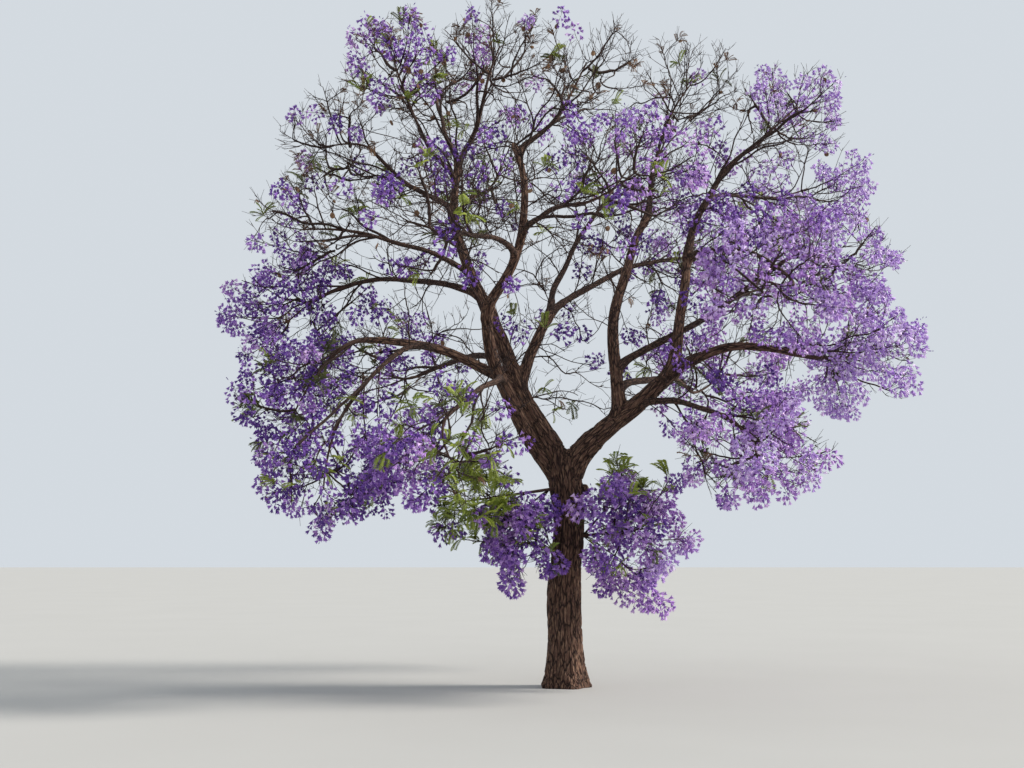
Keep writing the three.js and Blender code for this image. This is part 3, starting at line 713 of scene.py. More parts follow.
# Puts one item on every point, turned to its facing, with a spin and a size of its own.
def makeHangTree():
    inputs = [
        ("Item", "Object"), ("Level", "Float", 0.0), ("Spin", "Float", 3.14),
        ("Size Spread", "Float", 0.15), ("Seed", "Int", 1),
    ]
    tree, given, made = newGeometryTree("hangOnTwigs", inputs)
    spinMost, spread, seed = given["Spin"], given["Size Spread"], given["Seed"]
    item = newNode(tree, "GeometryNodeObjectInfo", {"Object": given["Item"]})
    sources = {"Vector": named(tree, "facing", "FLOAT_VECTOR")}
    face = newNode(tree, "FunctionNodeAlignRotationToVector", sources, axis="Z")
    sources = {"Rotation": face.outputs[0], "Factor": given["Level"], "Vector": (0, 0, 1)}
    level = newNode(tree, "FunctionNodeAlignRotationToVector", axis="X", pivot_axis="Z")
    feedAll(tree, level, sources)
    spin = randomBetween(tree, calculate(tree, "MULTIPLY", spinMost, -1), spinMost, seed)
    turn = newNode(tree, "FunctionNodeAxisAngleToRotation", {"Axis": (0, 0, 1), "Angle": spin})
    sources = {"Rotation": level.outputs[0], "Rotate By": turn.outputs[0]}
    turned = newNode(tree, "FunctionNodeRotateRotation", sources, rotation_space="LOCAL")
    least, most = calculate(tree, "SUBTRACT", 1, spread), calculate(tree, "ADD", 1, spread)
    share = randomBetween(tree, least, most, calculate(tree, "ADD", seed, 7))
    sources = {
        "Points": given["Geometry"],
        "Instance": item.outputs["Geometry"],
        "Rotation": turned.outputs[0],
        "Scale": calculate(tree, "MULTIPLY", share, named(tree, "size", "FLOAT")),
    }
    place = newNode(tree, "GeometryNodeInstanceOnPoints", sources)
    keep = newNode(tree, "GeometryNodeStoreNamedAttribute", data_type="FLOAT", domain="INSTANCE")
    tone = randomBetween(tree, 0, 1, 0)
    feedAll(tree, keep, {"Geometry": place.outputs["Instances"], "Name": "tone", "Value": tone})
    return endTree(tree, given, made, keep.outputs["Geometry"])


# Raises bark plates between fissures. The pattern follows each limb's own grain.
def makeReliefTree():
    inputs = [("Plate Width", "Float", 0.045), ("Plate Length", "Float", 0.13)]
    tree, given, made = newGeometryTree("barkRelief", [*inputs, ("Depth", "Float", 0.008)])
    place, edge = addPlates(tree, named(tree, "grain", "FLOAT_VECTOR"), given)
    plates = smoothRange(tree, edge, {"From Max": 0.22, "To Min": -1, "To Max": 0.35})
    lumps = calculate(tree, "SUBTRACT", addNoise(tree, place, 0.8, 3), 0.5)
    both = calculate(tree, "MULTIPLY_ADD", lumps, 1.6, plates)
    deep = calculate(tree, "MULTIPLY", both, given["Depth"])
    height = calculate(tree, "MULTIPLY", deep, named(tree, "relief", "FLOAT"))
    normal = newNode(tree, "GeometryNodeInputNormal").outputs["Normal"]
    push = calculateVector(tree, "SCALE", {0: normal, "Scale": height})
    sources = {"Geometry": given["Geometry"], "Offset": push}
    move = newNode(tree, "GeometryNodeSetPosition", sources)
    return endTree(tree, given, made, smoothed(tree, move.outputs["Geometry"]))


twigTree, hangTree, reliefTree = makeTwigTree(), makeHangTree(), makeReliefTree()


# The plain mesh that a tree of nodes grows from a source, as a piece of its own.
def grown(name, source, tree, settings):
    modifier = source.modifiers.new(tree.name, "NODES")
    modifier.node_group = tree
    sockets = {s.name: s.identifier for s in tree.interface.items_tree if s.in_out == "INPUT"}
    for label, value in settings.items():
        modifier[sockets[label]] = value
    mesh = plainMesh(source)
    source.modifiers.remove(modifier)
    bpy.data.objects.remove(source)
    mesh.name = name
    print(name, len(mesh.polygons), "faces")
    return linked(name, mesh)


def mixColors(tree, share, first, second):
    first, second = ((*c, 1) if isinstance(c, tuple) else c for c in (first, second))
    node = newNode(tree, "ShaderNodeMix", data_type="RGBA")
    feedAll(tree, node, {0: share, 6: first, 7: second})
    return node.outputs[2]


def stored(tree, name, output="Fac"):
    return newNode(tree, "ShaderNodeAttribute", attribute_name=name).outputs[output]


def objectPlace(tree):
    return newNode(tree, "ShaderNodeTexCoord").outputs["Object"]


# Fissures, weathered flecks and broad blotches of bark, and a height for its bump.
def makeBarkGroup():
    tree, given, made = newTree(
        "barkGrain",
        "ShaderNodeTree",
        [("Place", "Vector"), ("Plate Width", "Float", 0.03), ("Plate Length", "Float", 0.09)],
        [("Fissure", "Float"), ("Fleck", "Float"), ("Blotch", "Float"), ("Height", "Float")],
    )
    place, edge = addPlates(tree, given["Place"], given)
    crack = smoothRange(tree, edge, {"From Max": 0.16, "To Min": 1, "To Max": 0})
    fine = addNoise(tree, place, 3.2, 5)
    feed(tree, made["Fissure"], crack)
    feed(tree, made["Fleck"], smoothRange(tree, fine, {"From Min": 0.45, "From Max": 0.7}))
    feed(tree, made["Blotch"], addNoise(tree, place, 0.32, 2))
    feed(tree, made["Height"], calculate(tree, "SUBTRACT", fine, crack))
    return tree


# A petal is paler at its lips than in its throat. Painted highlight and shade: a random share of
# flowers is painted pale towards the lip colour as if sunlit, another share darker towards the
# throat colour as if shaded.
def makePetalGroup():
    tree, given, made = newTree(
        "petalShade",
        "ShaderNodeTree",
        [("Throat", "Color"), ("Petal", "Color"), ("Lip", "Color")],
        [("Color", "Color")],
    )
    tone = stored(tree, "tone")
    # painted highlight for high tones, painted shade for low ones
    fresh = smoothRange(tree, tone, {"From Min": 0.45})
    wearAndShade = smoothRange(tree, tone, {"From Max": 0.5, "To Min": 0.6, "To Max": 0})
    body = mixColors(tree, stored(tree, "lip"), given["Throat"], given["Petal"])
    shaded = mixColors(tree, wearAndShade, body, given["Throat"])
    feed(tree, made["Color"], mixColors(tree, fresh, shaded, given["Lip"]))
    return tree


# A leaflet is darkest at its foot, lighter at its tip and mottled. Fronds differ in tone.
def makeLeafGroup():
    tree, given, made = newTree(
        "leafShade",
        "ShaderNodeTree",
        [("Dark", "Color"), ("Light", "Color"), ("Mottle", "Float", 40.0)],
        [("Color", "Color")],
    )
    mottle = newNode(
        tree, "ShaderNodeTexNoise", {"Vector": objectPlace(tree), "Scale": given["Mottle"]}
    )
    foot = calculate(tree, "MULTIPLY_ADD", stored(tree, "lip"), -0.45, 0.45)
    spots = calculate(tree, "MULTIPLY", mottle.outputs["Fac"], 0.6)
    toned = mixColors(tree, stored(tree, "tone"), given["Dark"], given["Light"])
    footed = mixColors(tree, foot, toned, given["Dark"])
    feed(tree, made["Color"], mixColors(tree, spots, footed, given["Light"]))
    return tree


barkGroup, petalGroup, leafGroup = makeBarkGroup(), makePetalGroup(), makeLeafGroup()


def newMaterial(name):
    material = bpy.data.materials.new(name)
    material.use_nodes = True
    return material, material.node_tree, material.node_tree.nodes["Principled BSDF"]


def makeBark(name, look):
    material, tree, shader = newMaterial(name)
    width, length = look["plate"]
    place = stored(tree, "grain", "Vector") if look["place"] == "grain" else objectPlace(tree)
    sizes = {"Place": place, "Plate Width": width, "Plate Length": length}
    grain = newNode(tree, "ShaderNodeGroup", node_tree=barkGroup)
    feedAll(tree, grain, sizes)
    blotched = mixColors(tree, grain.outputs["Blotch"], look["dark"], look["mid"])
    flecked = mixColors(tree, grain.outputs["Fleck"], blotched, look["wearAndShade"])
    color = mixColors(tree, grain.outputs["Fissure"], flecked, look["crack"])
    if "sawn" in look:  # bare wood where a limb was taken off
        bare = mixColors(tree, grain.outputs["Fleck"], look["sawn"], look["wearAndShade"])
        color = mixColors(tree, stored(tree, "sawn"), color, bare)
    height = {"Height": grain.outputs["Height"], "Strength": look["bump"], "Distance": 0.006}
    bump = newNode(tree, "ShaderNodeBump", height)
    finish = {"Roughness": look["roughness"], "Specular IOR Level": 0.3}
    feedAll(tree, shader, {"Base Color": color, "Normal": bump.outputs["Normal"], **finish})
    return material


# A petal's or a leaf's material: its group's colours and sizes by name, and its finish.
def makeShaded(name, group, look, finish):
    material, tree, shader = newMaterial(name)
    shade = newNode(tree, "ShaderNodeGroup", node_tree=group)
    for socket in shade.inputs:
        value = look[socket.name.lower()]
        socket.default_value = (*value, 1) if isinstance(value, tuple) else value
    feedAll(tree, shader, {"Base Color": shade.outputs["Color"], **finish})
    return material


barkLooks = {
    "trunkBark": {
        "place": "grain", "plate": (0.03, 0.17), "bump": 0.9, "roughness": 0.9,
        "dark": (0.066, 0.033, 0.024), "mid": (0.135, 0.071, 0.049),
        "wearAndShade": (0.27, 0.165, 0.108), "crack": (0.018, 0.009, 0.007), "sawn": (0.46, 0.32, 0.19),
    },
    "boughBark": {
        "place": "grain", "plate": (0.02, 0.07), "bump": 0.6, "roughness": 0.85,
        "dark": (0.038, 0.02, 0.016), "mid": (0.078, 0.042, 0.031),
        "wearAndShade": (0.18, 0.105, 0.072), "crack": (0.016, 0.01, 0.008),
    },
    "twigBark": {
        "place": "object", "plate": (0.012, 0.03), "bump": 0.4, "roughness": 0.8,
        "dark": (0.026, 0.014, 0.013), "mid": (0.052, 0.028, 0.023),
        "wearAndShade": (0.13, 0.075, 0.052), "crack": (0.014, 0.009, 0.008),
    },
}
# Four tints of one blossom. As painted light and shade, pale and pink go mostly to sunlit panicles
# and violet and deep mostly to shaded ones, with patches and chance mixed in.
petalLooks = {
    "pale": {"throat": (0.36, 0.2, 0.6), "petal": (0.68, 0.47, 0.88), "lip": (0.87, 0.74, 0.97)},
    "pink": {"throat": (0.28, 0.12, 0.46), "petal": (0.53, 0.29, 0.73), "lip": (0.79, 0.57, 0.91)},
    "violet": {
        "throat": (0.15, 0.06, 0.34), "petal": (0.32, 0.14, 0.57), "lip": (0.55, 0.33, 0.78),
    },
    "deep": {
        "throat": (0.07, 0.025, 0.21), "petal": (0.16, 0.06, 0.38), "lip": (0.31, 0.14, 0.56),
    },
}
petalFinish = {"Roughness": 0.55, "Specular IOR Level": 0.25, "Sheen Weight": 0.1}
# Painted light and shade: the first kind is a bright yellow-green copy for sunlit leaves, the shade
# kind a dark olive copy for shaded ones. Rusty leaves are withered.
leafLooks = {
    "fresh": {
        "dark": (0.1, 0.16, 0.018), "light": (0.34, 0.4, 0.05), "mottle": 60.0, "roughness": 0.55,
    },
    "shade": {
        "dark": (0.04, 0.05, 0.012), "light": (0.14, 0.16, 0.03), "mottle": 45.0, "roughness": 0.6,
    },
    "rust": {
        "dark": (0.09, 0.04, 0.018), "light": (0.24, 0.13, 0.06), "mottle": 50.0, "roughness": 0.7,
    },
}
barkMaterials = {name: makeBark(name, look) for name, look in barkLooks.items()}
petalMaterials = {
    name: makeShaded(name + "Petals", petalGroup, look, petalFinish)
    for name, look in petalLooks.items()
}
leafMaterials = {
    name: makeShaded(name + "Leaves", leafGroup, look, {"Roughness": look["roughness"]})
    for name, look in leafLooks.items()
}
print("materials made")

# Trunk and stout limbs are one skin, with collars at the forks.
woodSetup = {
    "stoutFrom": 44 * mm,  # a limb thicker than this at its butt joins the skin
    "trunkSides": 72,
    "trunkRows": 110,
    "stubSides": 24,
    "limbSides": 24,
    "collarSides": 16,
    "limbStep": 30 * mm,
    "voxel": 10.9 * mm,
    "smoothing": 8,
    "swelling": 2.6 * mm,  # makes up for what smoothing takes off
    "trunkLead": 300 * mm,  # how far below its fork a limb parts from the trunk
    "limbLead": 130 * mm,
    "hold": (0.42, 0.36),  # how firmly a limb keeps its carrier's way, then its own
    "collarReach": 170 * mm,
    "footFlat": 8 * mm,  # what lies lower is pressed flat on the ground
    "grainRows": 86,
    "grainShift": (3, 2.7),  # keeps one limb's bark from repeating on the next
    "plateWidth": 0.043,
    "plateLength": 0.26,
    "plateDepth": 10 * mm,
}


def carrierOf(limb):
    if limb["from"] == "trunk":
        return trunkPoint, trunkSizes["height"]
    return limbs[limb["from"]]["pointAt"], limbs[limb["from"]]["reach"]


# A limb parts gently from what carries it, then follows its own line.
def limbLine(limb, step):
    carrierAt, carrierReach = carrierOf(limb)
    lead = woodSetup["trunkLead"] if limb["from"] == "trunk" else woodSetup["limbLead"]
    before = max(0.0, limb["at"] - lead / carrierReach)
    join = min(0.4, (lead + 0.1) / limb["reach"])
    begin, end = carrierAt(before), limb["pointAt"](join)
    leave, arrive = tangentOf(carrierAt, before), tangentOf(limb["pointAt"], join)
    span = np.linalg.norm(end - begin)
    early, late = woodSetup["hold"]
    hold = [begin, begin + leave * span * early, end - arrive * span * late, end]
    bend = bendThrough(hold, max(4, int(span / step)), endpoint=False)
    carried = [other for other in limbs.values() if other["from"] == limb["name"]]
    runsOn = any(other["at"] > 0.96 for other in carried)
    lastAt = 0.988 if runsOn else 1  # the limb that runs on covers the tip
    shares = np.linspace(join, lastAt, int(limb["reach"] * (lastAt - join) / step) + 2)
    points = np.concatenate([bend, [limb["pointAt"](share) for share in shares]])
    atButt = np.zeros(len(bend))
    radii = limb["butt"] + (limb["tip"] - limb["butt"]) * np.concatenate([atButt, shares])
    along = np.concatenate([[0], np.cumsum(np.linalg.norm(np.diff(points, axis=0), axis=1))])
    flare = limb["butt"] * 0.3 * np.exp(-np.maximum(0, along - lead) / (limb["butt"] * 2))
    return points, radii + flare, along


def lineTangents(points):
    return units(np.gradient(points, axis=0))


def tubeRings(points, radii, sideways, sides):
    angles = np.linspace(0, 2 * math.pi, sides, endpoint=False)
    rings = []
    for point, tangent, radius in zip(points, lineTangents(points), radii):
        across = unit(sideways - tangent * (sideways @ tangent))
        over = np.cross(tangent, across)
        rings.append(
            point
            + np.outer(np.cos(angles) * radius, across)
            + np.outer(np.sin(angles) * radius, over)
        )
    return rings


def ringsToMesh(rings):
    sides = len(rings[0])
    corners = np.concatenate(rings + [rings[0].mean(0)[None], rings[-1].mean(0)[None]])
    faces = []
    for row in range(len(rings) - 1):
        for i in range(sides):
            j = (i + 1) % sides
            a, b = row * sides, (row + 1) * sides
            faces.append((a + i, a + j, b + j, b + i))
    low, high = len(corners) - 2, len(corners) - 1
    last = (len(rings) - 1) * sides
    for i in range(sides):
        j = (i + 1) % sides
        faces.append((low, j, i))
        faces.append((high, last + i, last + j))
    return corners, faces


def joined(parts):
    corners, faces, shift = [], [], 0
    for points, polygons in parts:
        corners.append(points)
        faces += [tuple(i + shift for i in face) for face in polygons]
        shift += len(points)
    return np.concatenate(corners), faces


def trunkRings():
    angles = np.linspace(0, 2 * math.pi, woodSetup["trunkSides"], endpoint=False)
    rings = []
    for t in np.linspace(0, 1, woodSetup["trunkRows"]):
        top = max(0.0, (t - 0.965) / 0.035)  # it closes over at the fork
        share = 1 - (1 - trunkSizes["forkTopShare"]) * top
        radius = trunkRadiusRound(t, angles) * share + woodSetup["swelling"]
        level = np.stack([np.cos(angles) * radius, np.sin(angles) * radius, 0 * angles], 1)
        rings.append(trunkPoint(t) + level)
    return rings


# The stub's outline: share of its reach, and share of its radius.
stubOutline = [
    (0, 1.45), (0.45, 1.32), (0.62, 1.1), (0.8, 1.04), (0.93, 1.12), (1, 0.86), (0.97, 0.4),
]


def stubRings():
    along, side, _ = directions(trunkSizes["stubHeading"], trunkSizes["stubRise"])
    over = np.cross(along, side)
    start = trunkPoint(trunkSizes["stubHeight"] / trunkSizes["height"])
    angles = np.linspace(0, 2 * math.pi, woodSetup["stubSides"], endpoint=False)
    rings = []
    for share, swell in stubOutline:
        radius = trunkSizes["stubRadius"] * swell * (1 + 0.06 * np.cos(3 * angles + 5 * share))
        flat = np.outer(np.cos(angles) * radius, side) + np.outer(np.sin(angles) * radius, over)
        rings.append(start + along * trunkSizes["stubReach"] * share + flat)
    return rings


# How far a point lies on the sawn end of the stub, 0 to 1.
def sawnShare(points):
    along = directions(trunkSizes["stubHeading"], trunkSizes["stubRise"])[0]
    edge, rim = 0.06, 6 * mm  # how softly it begins along the stub, and at its rim
    offset = points - trunkPoint(trunkSizes["stubHeight"] / trunkSizes["height"])
    out = offset @ along
    aside = np.linalg.norm(offset - out[:, None] * along, axis=1)
    near = np.clip((out / trunkSizes["stubReach"] - 0.9) / edge, 0, 1)
    return near * np.clip((trunkSizes["stubRadius"] * 1.02 - aside) / rim, 0, 1)


# A limb's rings, closed by a rounded tip.
def limbRings(limb):
    points, radii, _ = limb["line"]
    rings = tubeRings(points, radii + woodSetup["swelling"], limb["side"], woodSetup["limbSides"])
    tip, tangent, last = points[-1], lineTangents(points)[-1], rings[-1]
    for out, share in ((0.5, 0.82), (0.8, 0.45)):
        rings.append(tip + tangent * limb["tip"] * out + (last - tip) * share)
    return rings


# The swelling round a thin limb's foot, which belongs to the skin of what carries it.
def collarRings(limb):
    points, radii, along = limb["line"]
    near = along < woodSetup["collarReach"]
    share = np.clip(along[near] / woodSetup["collarReach"], 0, 1)
    fading = radii[near] * (1.16 - 0.5 * share**2) + woodSetup["swelling"]
    return tubeRings(points[near], fading, limb["side"], woodSetup["collarSides"])


stoutLimbs = [limb for limb in limbs.values() if limb["butt"] > woodSetup["stoutFrom"]]
thinLimbs = [limb for limb in limbs.values() if limb["butt"] <= woodSetup["stoutFrom"]]
stoutNames = ["trunk"] + [limb["name"] for limb in stoutLimbs]
thinNames = [limb["name"] for limb in thinLimbs]
for limb in limbs.values():
    limb["line"] = limbLine(limb, woodSetup["limbStep"])
parts = [ringsToMesh(trunkRings()), ringsToMesh(stubRings())]
parts += [ringsToMesh(limbRings(limb)) for limb in stoutLimbs]
parts += [ringsToMesh(collarRings(limb)) for limb in thinLimbs if limb["from"] in stoutNames]
looseWood = pieceFrom("looseWood", *joined(parts))
remesh = looseWood.modifiers.new("oneSkin", "REMESH")
remesh.mode = "VOXEL"
remesh.voxel_size = woodSetup["voxel"]
relax = looseWood.modifiers.new("relax", "SMOOTH")
relax.factor = 0.5
relax.iterations = woodSetup["smoothing"]
woodMesh = plainMesh(looseWood)
bpy.data.objects.remove(looseWood)
woodSource = linked("woodSource", woodMesh)
places = np.zeros(len(woodMesh.vertices) * 3, np.float32)
woodMesh.vertices.foreach_get("co", places)
places = places.reshape(-1, 3)
places[places[:, 2] < woodSetup["footFlat"], 2] = 0
woodMesh.vertices.foreach_set("co", places.ravel())
woodMesh.update()


blockSize = 8000  # points at a time, to spare memory


# Where a point of bark lies on its limb: round it, and along it from the tree's foot.
def grainOf(places, runs):
    run = {key: np.concatenate([one[key] for one in runs]) for key in runs[0]}
    grain = np.zeros((len(places), 3), np.float32)
    girth = np.zeros(len(places), np.float32)
    for begin in range(0, len(places), blockSize):
        block = slice(begin, begin + blockSize)
        offset = places[block][:, None] - run["centres"][None]
        nearest = (np.linalg.norm(offset, axis=2) - run["radii"]).argmin(1)
        chosen = offset[np.arange(len(nearest)), nearest]
        grain[block, 0] = (chosen * run["across"][nearest]).sum(1)
        grain[block, 1] = (chosen * run["over"][nearest]).sum(1)
        grain[block, 2] = run["distances"][nearest] + (chosen * run["tangents"][nearest]).sum(1)
        girth[block] = run["radii"][nearest]
    return grain, girth


def grainRun(points, radii, along, sideways, offset):
    tangents = lineTangents(points)
    across = units(sideways - tangents * (tangents @ sideways)[:, None])
    return {
        "centres": points,
        "radii": radii,
        "distances": offset + along,
        "across": across,
        "over": np.cross(tangents, across),
        "tangents": tangents,
    }


# Bark with plates in relief, as a finished piece.
def barked(name, source, setup, bark):
    sizes = {"Plate Width": setup["plateWidth"], "Plate Length": setup["plateLength"]}
    settings = {**sizes, "Depth": setup["plateDepth"], "Material": barkMaterials[bark]}
    return grown(name, source, reliefTree, settings)


heights = np.linspace(0, 1, woodSetup["grainRows"])
trunkLine = np.array([trunkPoint(t) for t in heights])
trunkRadii = np.array([trunkRadius(t) for t in heights])
runs = [grainRun(trunkLine, trunkRadii, heights * trunkSizes["height"], np.array([1.0, 0, 0]), 0)]
first, step = woodSetup["grainShift"]
for order, limb in enumerate(stoutLimbs):
    runs.append(grainRun(*limb["line"], limb["side"], first + order * step))
grain, girth = grainOf(places, runs)
storeOnPoints(woodMesh, "grain", "FLOAT_VECTOR", grain)
sawn = sawnShare(places)
storeOnPoints(woodMesh, "sawn", "FLOAT", sawn)
fade = np.clip(places[:, 2] / 0.014, 0, 1)  # the cut at the ground stays flat
deep = np.clip((girth - 0.02) / 0.13, 0.14, 1.0)  # the thinner the limb, the finer its bark
storeOnPoints(woodMesh, "relief", "FLOAT", fade * deep * (1 - 0.85 * sawn))
trunkPiece = barked("trunkAndLimbs", woodSource, woodSetup, "trunkBark")
print("trunk and stout limbs skinned")

# Boughs are the thinner limbs, sunk into what carries them.
boughSetup = {
    "sides": 12,
    "seeds": (5003, 131),  # the first bough's, and the step to the next
    "knuckles": 0.04,
    "grainShift": (40, 2.3),
    "relief": 0.25,
    "plateWidth": 0.03,
    "plateLength": 0.1,
    "plateDepth": 6 * mm,
}


def boughRings(limb, index):
    first, step = boughSetup["seeds"]
    draw = seededRandom(first + index * step)
    phases = [draw() * 6.283 for _ in range(2)]
    points, radii, along = limb["line"]
    wave = np.sin(along * 13 + phases[0]) + 0.7 * np.sin(along * 34 + phases[1])
    swollen = radii * (1 + boughSetup["knuckles"] * wave)
    return tubeRings(points, swollen, limb["side"], boughSetup["sides"])


parts, grains = [], []
first, step = boughSetup["grainShift"]
for index, limb in enumerate(thinLimbs):
    points, polygons = ringsToMesh(boughRings(limb, index))
    parts.append((points, polygons))
    run = grainRun(*limb["line"], limb["side"], first + index * step)
    grains.append(grainOf(points, [run])[0])
boughSource = pieceFrom("boughSource", *joined(parts))
storeOnPoints(boughSource.data, "grain", "FLOAT_VECTOR", np.concatenate(grains))
pointCount = len(boughSource.data.vertices)
storeOnPoints(boughSource.data, "relief", "FLOAT", np.full(pointCount, boughSetup["relief"]))
boughPiece = barked("boughs", boughSource, boughSetup, "boughBark")
print("boughs swept")

# For each mass: how many shoots it has beyond its sprays, share of shoot ends in bloom, flowers
# on a panicle, shares of ends with leaves, rusty leaves and pods, and how pale it is (0 to 1).
# The last column is painted light: panicles paler where the crown is sunlit, deeper where it is
# shaded.
massLooks = {
    "mass_top": (38, 0.02, 20, 0.02, 0.07, 0.03, 0.6),
    "mass_top_back": (32, 0.03, 19, 0.02, 0.06, 0.03, 0.5),
    "mass_top_left": (40, 0.1, 22, 0.02, 0.13, 0.05, 0.5),
    "mass_top_centre": (38, 0.015, 18, 0.02, 0.06, 0.03, 0.55),
    "mass_top_right": (38, 0.03, 19, 0.02, 0.05, 0.03, 0.75),
    "mass_high_left": (44, 0.04, 20, 0.02, 0.06, 0.02, 0.45),
    "mass_high_right": (32, 0.1, 20, 0.01, 0.01, 0.03, 0.85),
    "mass_upper_left": (44, 0.06, 20, 0.01, 0.02, 0.02, 0.48),
    "mass_upper_back": (34, 0.06, 19, 0.02, 0.01, 0.01, 0.35),
    "mass_upper_front_left": (38, 0.06, 21, 0.02, 0.01, 0.01, 0.25),
    "mass_upper_front_right": (38, 0.11, 21, 0.02, 0.01, 0.01, 0.45),
    "mass_rear_high": (34, 0.18, 20, 0.02, 0.01, 0.01, 0.65),
    "mass_far_left": (38, 0.3, 22, 0.03, 0.01, 0.01, 0.5),
    "mass_far_right": (34, 0.44, 22, 0.01, 0.0, 0.01, 0.95),
    "mass_right_upper": (32, 0.3, 21, 0.01, 0.0, 0.01, 0.9),
    "mass_right_front": (32, 0.26, 21, 0.01, 0.0, 0.01, 0.6),
    "mass_right_back": (32, 0.26, 20, 0.01, 0.0, 0.01, 0.85),
    "mass_rear_right": (38, 0.2, 19, 0.02, 0.0, 0.01, 0.75),
    "mass_left_low": (34, 0.26, 21, 0.09, 0.01, 0.01, 0.45),
    "mass_left_drop": (32, 0.21, 20, 0.14, 0.02, 0.01, 0.35),
    "mass_front_left": (38, 0.11, 20, 0.18, 0.02, 0.01, 0.4),
    "mass_back_left": (40, 0.13, 18, 0.12, 0.01, 0.01, 0.4),
    "mass_back_right": (40, 0.2, 19, 0.06, 0.01, 0.01, 0.6),
    "mass_hang_right": (32, 0.24, 21, 0.08, 0.02, 0.01, 0.6),
    "mass_trunk_right": (16, 0.46, 38, 0.11, 0.0, 0.0, 0.6),
    "mass_trunk_left": (12, 0.38, 36, 0.12, 0.0, 0.0, 0.46),
    "mass_low_left": (22, 0.05, 17, 0.4, 0.03, 0.0, 0.3),
    "inner": (520, 0.06, 20, 0.025, 0.01, 0.01, 0.34),
}
# How branches carry the solids' growth on from limbs and stems to every shoot.
branchRule = {
    "seed": 20417,
    "shyness": 0.15,  # least distance between the ends of shoots
    "margin": 0.06,  # shoots end so far inside their mass's space
    "openSky": 2.4,  # a way through open sky counts as so much longer
    "farthest": 1.9,
    "shortest": 0.05,
    "follow": 0.8,  # how far a branch first follows what carries it
    "lift": 0.5,
    "turnCost": 0.85,
    "sharpest": (0.8, 1.2),  # sharpest turn off a branch, and off a limb or stem
    "hold": (0.38, 0.34),
    "endShake": 0.16,
    "crook": 0.022,
    "waves": (0.8, 1.6),  # of its crook: at least, and more for each metre
    "depthCost": 0.12,  # keeps chains of branches on branches short
    "stoutest": 15 * mm,
    "buttSwell": 1.35,
    "nodesAt": (0.3, 0.45, 0.6, 0.75, 0.88, 1.0),
    "tipRadius": 3.7 * mm,
    "pipePower": 2.08,
    "limbNodes": 70 * mm,
    "batch": 60,  # shoots at a time, to spare memory
    "drooping": ("mass_left_drop", "mass_front_left", "mass_hang_right", "mass_low_left"),
}
# Long branches that each mass gets straight from a limb, before all others.
arcRule = {
    "perMass": 6,
    "length": 1.05,
    "turnCost": 0.9,
    "sharpest": 0.9,
    "thin": 16 * mm,  # a limb thinner than this seldom carries one
    "thinCost": 0.2,
    "skyCost": 0.8,
    "sharpCost": 5,
}
numbers = np.random.default_rng(branchRule["seed"])


# A smooth run through its anchors.
def smoothRun(anchors, count):
    anchors = np.array(anchors)
    ends = (2 * anchors[0] - anchors[1], 2 * anchors[-1] - anchors[-2])
    padded = np.concatenate([[ends[0]], anchors, [ends[1]]])
    points = []
    for t in np.linspace(0, len(anchors) - 1 - 1e-6, count):
        i, f = int(t), t - int(t)
        a, b, c, d = padded[i : i + 4]
        curve = 2 * b + (c - a) * f + (2 * a - 5 * b + 4 * c - d) * f**2
        points.append(0.5 * (curve + (3 * b - a - 3 * c + d) * f**3))
    return np.array(points)


# The space that the crown fills, on a grid of cells. Branches keep to it.
crownGrid = {
    "cell": 0.06,
    "low": np.array([-3.6, -3.0, 0.0]),
    "cells": (120, 100, 116),
    "round": 0.5,  # how far round a limb the crown reaches
}
limbPlaces = np.array(
    [limb["pointAt"](t) for limb in limbs.values() for t in np.linspace(0.2, 1, 16)]
)


def cellOf(point):
    return ((point - crownGrid["low"]) / crownGrid["cell"]).astype(int)


def fillCrown():
    counts, reach = crownGrid["cells"], crownGrid["round"]
    axes = [
        low + (np.arange(count) + 0.5) * crownGrid["cell"]
        for low, count in zip(crownGrid["low"], counts)
    ]
    grid = np.stack(np.meshgrid(*axes, indexing="ij"), -1)
    filled = np.zeros(counts, bool)
    for mass in masses:
        filled |= (((grid - mass["centre"]) / (mass["half"] * 1.04)) ** 2).sum(-1) < 1
    for place in limbPlaces:
        low, high = np.maximum(0, cellOf(place - reach)), cellOf(place + reach)
        part = tuple(slice(low[i], high[i]) for i in range(3))
        filled[part] |= np.linalg.norm(grid[part] - place, axis=-1) < reach
    return filled


crownFilled = fillCrown()


def isInCrown(points):
    cells = np.clip(cellOf(points), 0, np.array(crownGrid["cells"]) - 1)
    return crownFilled[cells[..., 0], cells[..., 1], cells[..., 2]]


# Places that a branch may leave from, on limbs, stems and branches.
branches = []
nodes = {"place": [], "way": [], "branch": [], "at": [], "room": [], "depth": []}


def addNode(place, way, branch, at, room, depth=0):
    for key, value in zip(nodes, (place, way, branch, at, room, depth)):
        nodes[key].append(value)


def addBranch(run, parent, at, least=0.0, room=1.0):
    branch = {"run": run, "parent": parent, "at": at, "least": least, "room": room, "loads": []}
    branch["depth"] = 1 + (branches[parent]["depth"] if parent >= 0 else 0)
    branches.append(branch)
    ways = lineTangents(run)
    for share in branchRule["nodesAt"]:
        index = int(round(share * (len(run) - 1)))
        addNode(run[index], ways[index], len(branches) - 1, index, room, branch["depth"])
    return branch


# What it costs to reach each shoot's end from each node, by way, turning and open sky.
def costTo(targets, first=0):
    places, ways, depths = (np.array(nodes[key][first:]) for key in ("place", "way", "depth"))
    way = targets[:, None] - places[None]
    distance = np.linalg.norm(way, axis=2)
    turning = 1 - (way * ways[None]).sum(2) / np.maximum(distance, mm)
    cost = distance * (1 + branchRule["turnCost"] * turning)
    cost = cost * (1 + branchRule["depthCost"] * depths)
    for share in (0.4, 0.7):
        cost = np.where(isInCrown(places[None] + way * share), cost, cost * branchRule["openSky"])
    sharp = turning > np.where(depths > 0, *branchRule["sharpest"])
    return np.where(sharp | (distance < branchRule["shortest"]), np.inf, cost)


